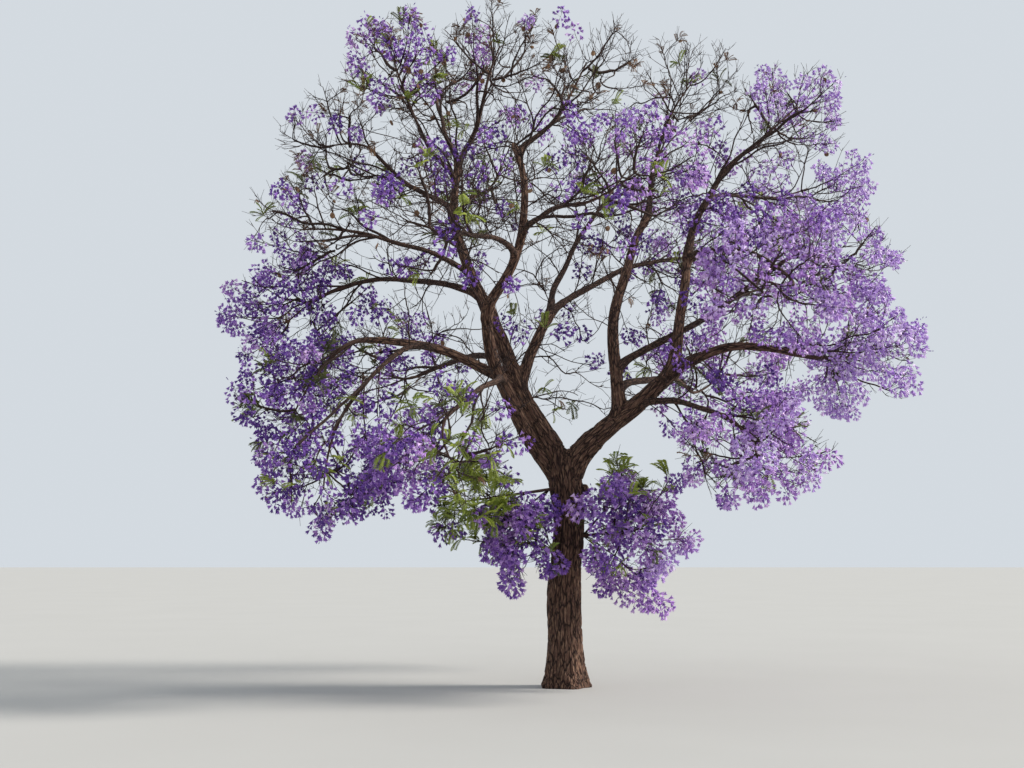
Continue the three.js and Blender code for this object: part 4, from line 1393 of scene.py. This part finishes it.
def branchRun(start, leaving, target, lift, steps):
    way = target - start
    span = np.linalg.norm(way)
    onward = max(0.15, unit(leaving) @ way / span)  # a sharp turn hardly follows its carrier
    leave = unit(unit(leaving) * branchRule["follow"] * onward + way / span)
    arrive = unit(way / span + up * lift + numbers.normal(0, branchRule["endShake"], 3))
    early, late = branchRule["hold"]
    hold = [start, start + leave * span * early, target - arrive * span * late, target]
    points = bendThrough(hold, steps)
    side = unit(np.cross(way, numbers.normal(0, 1, 3)))
    least, more = branchRule["waves"]
    t = np.linspace(0, 1, steps)[:, None]
    turns = 2 * np.pi * t * (least + span * more)
    wave = np.sin(np.pi * t) * np.sin(turns + numbers.uniform(0, 6))
    return points + side * wave * branchRule["crook"] * span


# Where the shoots of a mass end, most of them near its edge.
def scatterTargets(mass, count):
    found = []
    for _ in range(count * 30):
        if len(found) == count:
            break
        offset = unit(numbers.normal(0, 1, 3)) * numbers.uniform(0.08, 1) ** 0.42 * 0.97
        point = mass["centre"] + offset * mass["half"]
        if not isInSpace(mass, point, -branchRule["margin"]):
            continue
        if all(np.linalg.norm(point - other) > branchRule["shyness"] for other in found):
            found.append(point)
    return found


for limb in limbs.values():
    count = int(limb["reach"] / branchRule["limbNodes"])
    first = 0.3 if limb["from"] == "trunk" else 0.1
    for i in range(int(count * first), count + 1):
        t = i / count
        addNode(limb["pointAt"](t), tangentOf(limb["pointAt"], t), -1, 0, limbRadius(limb, t))
for mass in masses:
    for t in np.linspace(0.06, 0.98, 12):
        addNode(mass["stemAt"](t), tangentOf(mass["stemAt"], t), -1, 0, stemRadius(mass, t))

# The source's own twigs first, each running on through its spray.
ownTwigs = {
    "steps": 13,
    "follow": 0.6,
    "shortBy": 0.04,  # how far short of its spray's tip a twig ends
    "hold": (0.36, 0.3),
    "shake": 0.004,
    "butt": 0.8,
}
twigSteps = ownTwigs["steps"]
early, late = ownTwigs["hold"]
for mass in masses:
    for twig in mass["twigs"]:
        spray, start = twig["spray"], twig["from"]
        way = spray["root"] - start
        reach = max(np.linalg.norm(way), mm)
        onward = max(0.1, twig["leaving"] @ way / reach)
        leave = unit(way / reach + twig["leaving"] * ownTwigs["follow"] * onward)
        tip = spray["tip"] - spray["along"] * ownTwigs["shortBy"]
        span = np.linalg.norm(tip - start)
        hold = [start, start + leave * span * early, tip - spray["along"] * span * late, tip]
        swell = np.sin(np.linspace(0, 3.14, twigSteps))[:, None]
        shake = swell * numbers.normal(0, ownTwigs["shake"], (twigSteps, 3))
        run = bendThrough(hold, twigSteps) + shake
        spray["branch"] = addBranch(run, -1, 0, least=twig["butt"] * ownTwigs["butt"])
        spray["branch"]["mass"] = mass

crownCentre = np.array([0.0, 0.0, 4.1])
crownHalf = np.array([3.3, 2.7, 2.6])


# How far out in the crown a place lies: 0 at its middle, 1 at its edge.
def crownShare(place):
    return np.linalg.norm((place - crownCentre) / crownHalf)


# Shoots inside the crown, in the open spaces between the limbs.
innerRule = {
    "spread": 0.36,  # how far from a limb they are looked for
    "nearest": 0.12,
    "reach": 0.78,  # they end no farther than this from a limb
    "spacing": 0.165,
    "edge": 0.9,
    "lowest": 2.5,
    "openBelow": 3.9,  # below this height so large a share of them is left out
    "openShare": 0.65,
    "lift": (-0.5, 1.1),
    "stoutest": 7 * mm,
}


def gapTo(places, point):
    return np.linalg.norm(np.array(places) - point, axis=1).min()


def scatterInner(count):
    found = []
    for _ in range(count * 60):
        if len(found) == count:
            break
        near = limbPlaces[numbers.integers(len(limbPlaces))]
        point = near + numbers.normal(0, innerRule["spread"], 3)
        if point[2] < innerRule["lowest"] or crownShare(point) > innerRule["edge"]:
            continue
        if not innerRule["nearest"] < gapTo(limbPlaces, point) < innerRule["reach"]:
            continue
        if any(isInSpace(mass, point, -0.05) for mass in masses):
            continue
        if point[2] < innerRule["openBelow"] and numbers.random() < innerRule["openShare"]:
            continue
        if found and gapTo(found, point) < innerRule["spacing"]:
            continue
        found.append(point)
    return found


targets, owners = [], []
for mass in masses:
    found = scatterTargets(mass, massLooks[mass["name"]][0])
    targets += found
    owners += [mass] * len(found)
innerTargets = scatterInner(massLooks["inner"][0])
targets = np.array(targets + innerTargets)
owners += [{"name": "inner"}] * len(innerTargets)
print("shoots to grow:", len(targets), "of them inner", len(innerTargets))


def sprout(j, node):
    mass = owners[j]
    start, leaving = nodes["place"][node], nodes["way"][node]
    lift = branchRule["lift"] * numbers.uniform(0.4, 1.4)
    if mass["name"] in branchRule["drooping"]:
        lift = -0.1
    if mass["name"] == "inner":
        lift = numbers.uniform(*innerRule["lift"])
    steps = int(np.clip(4 + np.linalg.norm(targets[j] - start) / 0.1, 6, 14))
    run = branchRun(start, leaving, targets[j], lift, steps)
    parent, at, room = (nodes[key][node] for key in ("branch", "at", "room"))
    addBranch(run, parent, at, room=room).update(mass=mass, free=True)


# Long arcs first, from the limbs out to each mass's farthest shoots.
def growArcs(waiting):
    limbCount = nodes["branch"].index(0)
    places, ways, rooms = (np.array(nodes[key][:limbCount]) for key in ("place", "way", "room"))
    for mass in masses:
        own = [j for j in range(len(targets)) if owners[j] is mass]
        for j in sorted(own, key=lambda j: -gapTo(places, targets[j]))[: arcRule["perMass"]]:
            way = targets[j] - places
            distance = np.linalg.norm(way, axis=1)
            turning = 1 - (way * ways).sum(1) / distance
            cost = np.abs(distance - arcRule["length"]) + arcRule["turnCost"] * turning
            cost = cost + arcRule["thinCost"] * (rooms < arcRule["thin"])
            for share in (0.3, 0.5, 0.7):
                cost = cost + arcRule["skyCost"] * ~isInCrown(places + way * share)
            cost = np.where(turning > arcRule["sharpest"], cost + arcRule["sharpCost"], cost)
            sprout(j, int(cost.argmin()))
            waiting[j] = False


# Each next branch is the cheapest still to grow, and it may carry those after it.
def growBranches():
    waiting = np.ones(len(targets), bool)
    growArcs(waiting)
    best = np.full(len(targets), np.inf)
    chosen = np.zeros(len(targets), int)
    for begin in range(0, len(targets), branchRule["batch"]):
        batch = slice(begin, begin + branchRule["batch"])
        cost = costTo(targets[batch])
        best[batch] = cost.min(1)
        chosen[batch] = cost.argmin(1)
    best[~waiting] = np.inf
    while best.min() < branchRule["farthest"]:
        j = int(best.argmin())
        before = len(nodes["place"])
        sprout(j, chosen[j])
        best[j] = np.inf
        cost = costTo(targets, before)
        better = (cost.min(1) < best) & np.isfinite(best)
        best = np.where(better, cost.min(1), best)
        chosen = np.where(better, before + cost.argmin(1), chosen)


growBranches()


# A branch is as thick as all that it carries needs.
def thickenBranches():
    power = branchRule["pipePower"]
    for branch in reversed(branches):
        flow = np.full(len(branch["run"]), branchRule["tipRadius"] ** power)
        for at, load in branch["loads"]:
            flow[: at + 1] += load
        radii = flow ** (1 / power) * np.linspace(branchRule["buttSwell"], 1, len(flow))
        radii[0] = max(radii[0], branch["least"])
        radii[:3] = np.maximum(radii[:3], branch["least"] * np.array([1, 0.93, 0.86]))
        most = (innerRule if branch["mass"]["name"] == "inner" else branchRule)["stoutest"]
        branch["radii"] = np.minimum(radii, max(branch["least"], min(most, branch["room"] * 0.7)))
        if branch["parent"] >= 0:
            load = (branch["at"], branch["radii"][0] ** power)
            branches[branch["parent"]]["loads"].append(load)
    for branch in branches:
        if branch["parent"] >= 0:
            carrier = branches[branch["parent"]]["radii"][branch["at"]]
            branch["radii"] = np.minimum(branch["radii"], carrier * 0.95)


thickenBranches()
print("branches grown:", len(branches))

# What each shoot bears. Lengths and sizes are in metres.
shootSetup = {
    "sideTwigs": 6,
    "fanTwigs": 2,
    "lateralEvery": 0.19,
    "twigRadius": 4.0 * mm,
    "twigTip": 2.2 * mm,
    "twigMargin": 0.05,
    "endTwigs": 2,
    "endTwigLength": (0.07, 0.15),
    "frondSize": 0.14,
    "frondSpread": (0.6, 1.25),
    "frondsInTuft": (3, 7),
    "rustShare": 0.6,  # withered fronds are so much smaller
    "podSize": 0.05,
    "podSpread": (0.8, 1.2),
    "trunkTop": 2.3,  # below this height fronds keep clear of the trunk's core
    "trunkGap": 0.34,
}
skeletons = {"stems": [], "branches": [], "twigs": [], "stalks": []}
flowers = {tint: [] for tint in petalLooks}
fronds = {kind: [] for kind in leafLooks}
buds, pods = [], []


# Broad patches of the crown lean towards one tint or another.
def patchAt(place):
    x, y, z = place
    return math.sin(4.1 * x + 1.3) * math.sin(3.7 * z + 0.4) + 0.6 * math.sin(5.3 * y + 2.1 * x)


# How far light, the crown's edge, patches and chance shift a flower's tint, and the least
# score for each tint.
tintRule = {
    "light": 0.24,
    "edge": 0.35,
    "edgeFrom": 0.75,
    "patch": 0.12,
    "chance": 0.13,
    "least": (("pale", 0.82), ("pink", 0.58), ("violet", 0.34)),
}


# Sunlit outer panicles are pale or pink, shaded inner ones violet or deep.
def tintFor(place, lean):
    lit = unit((place - crownCentre) / crownHalf) @ towards
    outer = crownShare(place) - tintRule["edgeFrom"]
    score = lean + tintRule["light"] * lit + tintRule["edge"] * outer
    score = score + tintRule["patch"] * patchAt(place) + numbers.normal(0, tintRule["chance"])
    for tint, least in tintRule["least"]:
        if score > least:
            return tint
    return "deep"


def addRun(kind, points, thickStart, thickEnd):
    skeletons[kind].append((points, np.linspace(thickStart, thickEnd, len(points))))


panicleSetup = {
    "length": 0.165,
    "lengthSpread": (0.8, 1.2),
    "radius": 0.08,
    "radiusSpread": (0.85, 1.15),
    "sizeSpread": (0.8, 1.15),
    "countSpread": (0.75, 1.45),
    "fewest": 6,
    "trunkSize": 1.18,  # panicles on the trunk's own clusters are so much larger
    "flowerSize": 0.0455,
    "flowerSpread": (0.8, 1.15),
    "budSize": 0.03,
    "budSpread": (0.7, 1.2),
    "flowersPerBud": 3,
    "flowersPerStalk": 5,
    "outward": 0.75,  # how far flowers face away from the axis, along it and down
    "onward": 0.12,
    "down": 0.55,
    "facingShake": 0.26,
    "stalk": (2.2 * mm, 1.2 * mm),
    "flowerStalk": (1.3 * mm, 1.0 * mm),
}


# A panicle's flowers stand round its axis, fullest below the middle, with buds among them.
def addPanicle(base, axis, count, tint, size):
    axis = unit(axis + numbers.normal(0, 0.12, 3))
    side = unit(np.cross(axis, np.array([0.31, 0.22, 0.92])))
    over = np.cross(axis, side)
    length = panicleSetup["length"] * size * numbers.uniform(*panicleSetup["lengthSpread"])
    radius = panicleSetup["radius"] * size * numbers.uniform(*panicleSetup["radiusSpread"])
    order = np.arange(count)
    shares = (order + numbers.uniform(0, 1, count)) / count
    turn = numbers.uniform(0, 6.283)
    angles = turn + order * math.radians(rule["goldenTurn"]) + numbers.normal(0, 0.3, count)
    out = np.outer(np.cos(angles), side) + np.outer(np.sin(angles), over)
    belly = np.sqrt(np.maximum(0.05, 1 - (1.55 * shares - 0.6) ** 2))
    swell = radius * belly * numbers.uniform(0.55, 1.1, count)
    roots = base + np.outer(shares * length, axis) + out * swell[:, None]
    roots[:, 2] -= 0.01
    facing = out * panicleSetup["outward"] + axis * panicleSetup["onward"]
    shake = numbers.normal(0, panicleSetup["facingShake"], (count, 3))
    facing = units(facing - up * panicleSetup["down"] + shake)
    spread = numbers.uniform(*panicleSetup["flowerSpread"], count)
    sizes = panicleSetup["flowerSize"] * spread * max(1.0, size**0.6)
    flowers[tint].append(np.column_stack([roots - facing * sizes[:, None] * 0.3, facing, sizes]))
    few = max(2, count // panicleSetup["flowersPerBud"])
    at = base + np.outer(numbers.uniform(0.3, 1.02, few) * length, axis)
    turned = units(numbers.normal(0, 1, (few, 3)) + axis * 0.5)
    sizes = panicleSetup["budSize"] * numbers.uniform(*panicleSetup["budSpread"], few)
    place = at + turned * radius * numbers.uniform(0.05, 0.6, few)[:, None]
    buds.append(np.column_stack([place, turned, sizes]))
    addRun("stalks", np.array([base, base + axis * length * 0.8]), *panicleSetup["stalk"])
    for pick in range(1, count, panicleSetup["flowersPerStalk"]):
        foot = base + axis * shares[pick] * length * 0.7
        addRun("stalks", np.array([foot, roots[pick]]), *panicleSetup["flowerStalk"])


def addTuft(kind, place, way):
    core = trunkPoint(place[2] / trunkSizes["height"])
    aside = np.linalg.norm((place - core)[:2])
    if place[2] < shootSetup["trunkTop"] and aside < shootSetup["trunkGap"]:
        return
    share = shootSetup["rustShare"] if kind == "rust" else 1
    for _ in range(numbers.integers(*shootSetup["frondsInTuft"])):
        out = unit(numbers.normal(0, 1, 3))
        facing = unit(out * 0.9 + way * 0.7 + up * 0.15)
        scale = shootSetup["frondSize"] * numbers.uniform(*shootSetup["frondSpread"]) * share
        root = place - way * numbers.uniform(0, 0.06)
        fronds[kind].append(np.concatenate([root, facing, [scale]]))


bloomRule = {
    "patchy": 0.4,  # how much patches of the crown differ
    "sparse": 0.25,  # a mass with less bloom than this has it mostly along the crown's edge
    "edgeFrom": 0.5,
    "edgeDepth": 0.3,
    "edgeLimits": (0.35, 1.9),
    "innerRise": (0.7, 1.1),  # inside, bloom at the middle, and more for each metre to the right
    "innerLimits": (0.5, 2.8),
    "leafyAbove": 1.76,  # above this height leaves crown the trunk's own clusters
    "leafyBloom": 0.4,
    "leafyLeaves": 4,
    # share of leaves painted sunlit, the rest painted shaded
    "paintedLitShare": (0.85, 0.4),  # of the leaves in a leafy mass, and in another
}


# A shoot's end has a panicle. If not, it forks into two last twigs, some with leaves or a pod.
def dressEnd(mass, place, way):
    _, bloom, count, leafy, rusty, podded, lean = massLooks[mass["name"]]
    patch = 1 + bloomRule["patchy"] * patchAt(place)
    if bloom < bloomRule["sparse"]:
        outer = (crownShare(place) - bloomRule["edgeFrom"]) / bloomRule["edgeDepth"]
        patch *= np.clip(outer, *bloomRule["edgeLimits"])
    if mass["name"] == "inner":
        least, more = bloomRule["innerRise"]
        patch = np.clip(least + more * place[0], *bloomRule["innerLimits"])
    onTrunk = mass["name"].startswith("mass_trunk")
    if onTrunk and place[2] > bloomRule["leafyAbove"]:
        bloom, leafy = bloom * bloomRule["leafyBloom"], leafy * bloomRule["leafyLeaves"]
    if numbers.random() < bloom * patch:
        size = numbers.uniform(*panicleSetup["sizeSpread"])
        size = size * (panicleSetup["trunkSize"] if onTrunk else 1)
        number = int(count * numbers.uniform(*panicleSetup["countSpread"]))
        number = max(panicleSetup["fewest"], number)
        addPanicle(place - way * 0.04, way, number, tintFor(place, lean), size)
        return
    chance = numbers.random() * (1 - bloom)
    if chance < leafy:
        # leaves are painted sunlit or shaded: mostly sunlit in a leafy mass, mostly shaded
        # elsewhere
        fresh = bloomRule["paintedLitShare"][0 if leafy > 0.1 else 1]
        addTuft("fresh" if numbers.random() < fresh else "shade", place, way)
    elif chance < leafy + rusty:
        addTuft("rust", place, way)
    elif chance < leafy + rusty + podded:
        facing = unit(unit(numbers.normal(0, 1, 3)) - up * 1.2)
        size = shootSetup["podSize"] * numbers.uniform(*shootSetup["podSpread"])
        pods.append(np.concatenate([place, facing, [size]]))
    for _ in range(shootSetup["endTwigs"]):
        out = unit(unit(numbers.normal(0, 1, 3)) * 0.8 + way * 0.7 + up * 0.3)
        root = place - way * 0.04
        end = root + out * numbers.uniform(*shootSetup["endTwigLength"])
        addRun("twigs", np.array([root, end]), shootSetup["twigTip"], shootSetup["twigTip"] * 0.7)


# A twig is shortened until it ends inside its mass's space.
def keptIn(mass, base, aim, length):
    end = base + aim * length
    if mass["name"] == "inner":
        return end, length
    while not isInSpace(mass, end, -shootSetup["twigMargin"]) and length > 0.06:
        length *= 0.8
        end = base + aim * length
    return end, length


def sproutTwig(mass, base, thick, aim, sag, length):
    end, length = keptIn(mass, base, aim, length)
    knee = base + (end - base) * 0.5 - up * length * sag + numbers.normal(0, 0.012, 3)
    run = smoothRun([base, knee, end], 4)
    addRun("twigs", run, min(thick, shootSetup["twigRadius"]), shootSetup["twigTip"])
    dressEnd(mass, end, unit(run[-1] - run[-2]))


middleStep = (twigSteps - 1) // 2  # side twigs stand on a run's outer half
for mass in masses:
    back = mass["start"] - mass["along"] * 0.03  # sunk a little into its bough
    shares = np.linspace(0, 1, 12)
    points = np.array([back] + [mass["stemAt"](t) for t in shares])
    radii = np.array([stemRadius(mass, t) for t in shares])
    if mass["from"] != "trunk":
        radii[0] = limbs[mass["from"]]["tip"] * 0.97
    skeletons["stems"].append((points, np.concatenate([[radii[0]], radii])))
    for twig in mass["twigs"]:
        spray = twig["spray"]
        run, radii = spray["branch"]["run"], spray["branch"]["radii"]
        turn = numbers.uniform(0, 6.283)
        for j in range(shootSetup["sideTwigs"]):
            index = int(round(middleStep + (j + 0.5) / shootSetup["sideTwigs"] * middleStep))
            angle = turn + j * math.radians(rule["goldenTurn"])
            flat = math.sin(angle) * rule["sprayFlatness"]
            out = spray["side"] * math.cos(angle) + spray["over"] * flat
            aim = spray["along"] * 0.6 + out * 0.8 + up * 0.2
            length = spray["radius"] * numbers.uniform(0.8, 1.5)
            sproutTwig(mass, run[index], radii[index] * 0.8, aim, 0.06, length)
        dressEnd(mass, run[-1] - spray["along"] * 0.08, unit(run[-1] - run[-2]))


# The twigs along a shoot stand off it square, those near its end fan out any way. "ahead",
# "aside" and "rise" mix how far each follows the shoot, leaves it and turns up.
twigKinds = {
    "lateral": {
        "square": True, "thick": 0.7, "ahead": 0.85, "aside": 0.75, "rise": 0.15, "sag": -0.08,
        "length": (0.14, 0.34),
    },
    "fan": {
        "square": False, "thick": 0.8, "ahead": 0.8, "aside": 0.7, "rise": 0.25, "sag": 0.05,
        "length": (0.12, 0.28),
    },
}


def sproutFrom(branch, index, kind):
    run, way = branch["run"], lineTangents(branch["run"])[index]
    aside = numbers.normal(0, 1, 3)
    out = unit(np.cross(way, aside) if kind["square"] else aside)
    aim = unit(way * kind["ahead"] + out * kind["aside"] + up * kind["rise"])
    length = numbers.uniform(*kind["length"])
    thick = branch["radii"][index] * kind["thick"]
    sproutTwig(branch["mass"], run[index], thick, aim, kind["sag"], length)


for branch in branches:
    run = branch["run"]
    skeletons["branches"].append((run, branch["radii"]))
    if "free" not in branch:
        continue
    span = np.linalg.norm(run[-1] - run[0])
    laterals = int(span / shootSetup["lateralEvery"]) - 1
    for j in range(laterals):
        index = int(round((0.2 + 0.6 * (j + numbers.random()) / laterals) * (len(run) - 1)))
        sproutFrom(branch, index, twigKinds["lateral"])
    for j in range(shootSetup["fanTwigs"]):
        sproutFrom(branch, len(run) - 2 - j * 2, twigKinds["fan"])
    dressEnd(branch["mass"], run[-1], lineTangents(run)[-1])
print("shoots dressed")


def skeletonPiece(name, runs):
    edges, begin = [], 0
    for points, _ in runs:
        edges += [(i, i + 1) for i in range(begin, begin + len(points) - 1)]
        begin += len(points)
    piece = pieceFrom(name, np.concatenate([points for points, _ in runs]), edges=edges)
    storeOnPoints(piece.data, "thick", "FLOAT", np.concatenate([radii for _, radii in runs]))
    return piece


twigPieces = {}
twigSides = {"stems": 8, "branches": 4, "twigs1": 3, "twigs2": 3, "stalks": 3}
skeletons["twigs1"], skeletons["twigs2"] = skeletons["twigs"][::2], skeletons["twigs"][1::2]
for kind, sides in twigSides.items():
    bark = barkMaterials["boughBark" if kind == "stems" else "twigBark"]
    settings = {"Sides": sides, "Thickness": 1.0, "Material": bark}
    skeleton = skeletonPiece(kind + "Lines", skeletons[kind])
    twigPieces[kind] = grown(kind, skeleton, twigTree, settings)

flowerShape = {
    "lobes": 5,
    "lobe": (0.4, 0.97),  # its reach and height
    "notch": (0.2, 0.76),
    "throat": 0.5,
}


# A closed trumpet. Its calyx is at the origin and its mouth faces +Z.
def makeFlower():
    rim = 2 * flowerShape["lobes"]
    corners = [(0, 0, 0)]
    for i in range(rim):
        angle = i * math.pi / flowerShape["lobes"]
        reach, height = flowerShape["notch" if i % 2 else "lobe"]
        corners.append((reach * math.cos(angle), reach * math.sin(angle), height))
    corners.append((0, 0, flowerShape["throat"]))
    faces = []
    for i in range(rim):
        a, b = 1 + i, 1 + (i + 1) % rim
        faces += [(0, b, a), (rim + 1, a, b)]
    flower = pieceFrom("flower", corners, faces)
    lips = [0.1] + [1.0, 0.5] * flowerShape["lobes"] + [0.0]
    storeOnPoints(flower.data, "lip", "FLOAT", lips)
    return flower


budShape = {"radius": 0.19, "widest": 0.68}


# A closed bud, thickest near its tip.
def makeBud():
    radius, widest = budShape["radius"], budShape["widest"]
    corners = [(0, 0, 0), (0, 0, 1)]
    corners += [(radius * math.cos(a), radius * math.sin(a), widest) for a in (0, 2.094, 4.189)]
    faces = [(0, 3, 2), (0, 4, 3), (0, 2, 4), (1, 2, 3), (1, 3, 4), (1, 4, 2)]
    bud = pieceFrom("bud", corners, faces)
    storeOnPoints(bud.data, "lip", "FLOAT", [0.0, 0.9, 0.5, 0.5, 0.5])
    return bud


frondShape = {
    "pairs": 9,
    "firstPair": 0.16,  # share of the spine where the leaflets begin
    "pairSpan": 0.8,
    "leafletLength": 0.34,
    "leafletWidth": 0.09,
    "leafletSag": 0.07,
    "rise": 0.14,
    "droop": 0.38,
    "stalk": 0.016,
}


# A feathery frond that grows along +Z with its upper side to +X, arching over.
def makeFrond():
    corners, faces, tips = [], [], []

    def spine(t):
        over = frondShape["rise"] * t - frondShape["droop"] * t * t
        return np.array([over, 0.0, t * (1 - 0.12 * t * t)])

    def addBlade(foot, way, length, width, sag):
        across = unit(np.cross(way, np.array([1.0, 0, 0])))
        middle = foot + way * length * 0.5 + np.array([width * 0.22, 0, 0])
        tip = foot + way * length + np.array([-sag, 0, 0])
        first = len(corners)
        corners.extend([foot, middle + across * width / 2, tip, middle - across * width / 2])
        tips.extend([0.1, 0.5, 1.0, 0.5])
        for face in ((0, 1, 3), (1, 2, 3), (0, 2, 1), (0, 3, 2)):
            faces.append(tuple(first + corner for corner in face))

    for i in range(frondShape["pairs"]):
        t = frondShape["firstPair"] + frondShape["pairSpan"] * i / (frondShape["pairs"] - 1)
        size = math.sin(math.pi * (0.2 + 0.72 * (1 - t) ** 0.8)) ** 0.7
        length = frondShape["leafletLength"] * size
        for hand in (-1, 1):
            way = unit(np.array([0.06, hand * 0.85, 0.5]))
            addBlade(spine(t), way, length, frondShape["leafletWidth"], frondShape["leafletSag"])
    addBlade(spine(0.96), unit(np.array([-0.2, 0, 1.0])), 0.16, 0.08, 0.03)  # the end leaflet
    first = len(corners)
    for part in (0, 0.5, 1):
        thin = frondShape["stalk"] * (1.1 - part)
        for angle in (0, 120, 240):
            turned = math.radians(angle)
            corners.append(spine(part) + np.array([math.cos(turned), math.sin(turned), 0]) * thin)
            tips.append(0.0)
    for low in (first, first + 3):
        for k in range(3):
            n = (k + 1) % 3
            faces.append((low + k, low + n, low + 3 + n, low + 3 + k))
    faces += [(first + 2, first + 1, first), (first + 6, first + 7, first + 8)]
    frond = pieceFrom("frond", corners, faces)
    storeOnPoints(frond.data, "lip", "FLOAT", tips)
    return frond


podShape = {"sides": 8, "thick": 0.09, "halfWidth": 0.46, "halfLength": 0.5, "middle": 0.55}


# A flat round woody pod, hanging from its stalk along +Z.
def makePod():
    sides, middle = podShape["sides"], podShape["middle"]
    corners = [(podShape["thick"], 0, middle), (-podShape["thick"], 0, middle)]
    faces = []
    for i in range(sides):
        angle = math.radians(i * 45 + 22.5)
        aside = podShape["halfWidth"] * math.sin(angle)
        corners.append((0, aside, middle - podShape["halfLength"] * math.cos(angle)))
    for i in range(sides):
        a, b = 2 + i, 2 + (i + 1) % sides
        faces += [(0, a, b), (1, b, a)]
    pod = pieceFrom("pod", corners, faces)
    storeOnPoints(pod.data, "lip", "FLOAT", [0.2, 0.2] + [1.0] * sides)
    return pod


hangSetup = {
    "mostFlowers": 9900,  # keeps a piece under 200,000 triangles
    "sizeSpread": 0.1,
    "anySpin": 3.14,  # radians either way
    "frondSpin": 0.5,
    "past": 0.06,  # how far past the solids' own box a tip may hang
    "lowest": 0.5,
    "seeds": {"flower": 11, "bud": 23, "frond": 31, "pod": 51},
}
items = {"flower": makeFlower(), "bud": makeBud(), "frond": makeFrond(), "pod": makePod()}


# Each row holds a place, a facing and a size. What would hang out too far is left off.
def kept(rows):
    rows = np.concatenate(rows) if rows[0].ndim == 2 else np.array(rows)
    ends = rows[:, :3] + rows[:, 3:6] * rows[:, 6:7]
    low = np.array(cadBox[0]) - hangSetup["past"]
    high = np.array(cadBox[1]) + hangSetup["past"]
    inside = (ends > low) & (ends < high)
    return rows[inside.all(1) & (ends[:, 2] > hangSetup["lowest"])]


def hang(name, kind, rows, material, part=0):
    source = pieceFrom(name + "Points", rows[:, :3])
    storeOnPoints(source.data, "facing", "FLOAT_VECTOR", rows[:, 3:6])
    storeOnPoints(source.data, "size", "FLOAT", rows[:, 6])
    settings = {
        "Item": items[kind],
        "Level": 1.0 if kind == "frond" else 0.0,
        "Spin": hangSetup["frondSpin" if kind == "frond" else "anySpin"],
        "Size Spread": hangSetup["sizeSpread"],
        "Seed": hangSetup["seeds"][kind] + part,
        "Material": material,
    }
    return grown(name, source, hangTree, settings)


blossomPieces, leafPieces = [], []
for tint, rows in flowers.items():
    rows = kept(rows)
    shares = max(1, math.ceil(len(rows) / hangSetup["mostFlowers"]))
    for part in range(shares):
        name = tint + "Blossom" + ("" if shares == 1 else str(part + 1))
        own = rows[part::shares]
        blossomPieces.append(hang(name, "flower", own, petalMaterials[tint], part))
blossomPieces.append(hang("buds", "bud", kept(buds), petalMaterials["deep"]))
for kind, rows in fronds.items():
    leafPieces.append(hang(kind + "Fronds", "frond", kept(rows), leafMaterials[kind]))
leafPieces.append(hang("pods", "pod", kept(pods), leafMaterials["rust"]))
for item in items.values():
    bpy.data.objects.remove(item)
print("blossom, leaves and pods hung")

# A plain pale floor, faintly uneven in tone.
def makeFloor():
    material, tree, shader = newMaterial("paleFloor")
    noise = newNode(tree, "ShaderNodeTexNoise", {"Vector": objectPlace(tree), "Scale": 0.6})
    color = mixColors(tree, noise.outputs["Fac"], *lightSetup["floorColors"])
    feedAll(tree, shader, {"Base Color": color, "Roughness": 0.9})
    half = lightSetup["floorSize"]
    corners = [(-half, -half, 0), (half, -half, 0), (half, half, 0), (-half, half, 0)]
    floor = pieceFrom("floor", corners, [(0, 1, 2, 3)])
    floor.data.materials.append(material)
    return floor


makeFloor()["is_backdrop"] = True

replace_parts(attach(trunkPiece, "root"), *stoutNames)
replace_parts(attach(boughPiece, "root"), *thinNames)
massNames = [mass["name"] for mass in masses]
for piece in twigPieces.values():
    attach(piece, "root")
for piece in blossomPieces:
    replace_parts(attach(piece, "root"), *massNames)
for piece in leafPieces:
    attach(piece, "root")

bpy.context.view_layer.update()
total = 0
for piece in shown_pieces():
    piece.data.calc_loop_triangles()
    total += len(piece.data.loop_triangles)
    print(piece.name, len(piece.data.loop_triangles), "triangles")
print("total", total, "triangles")
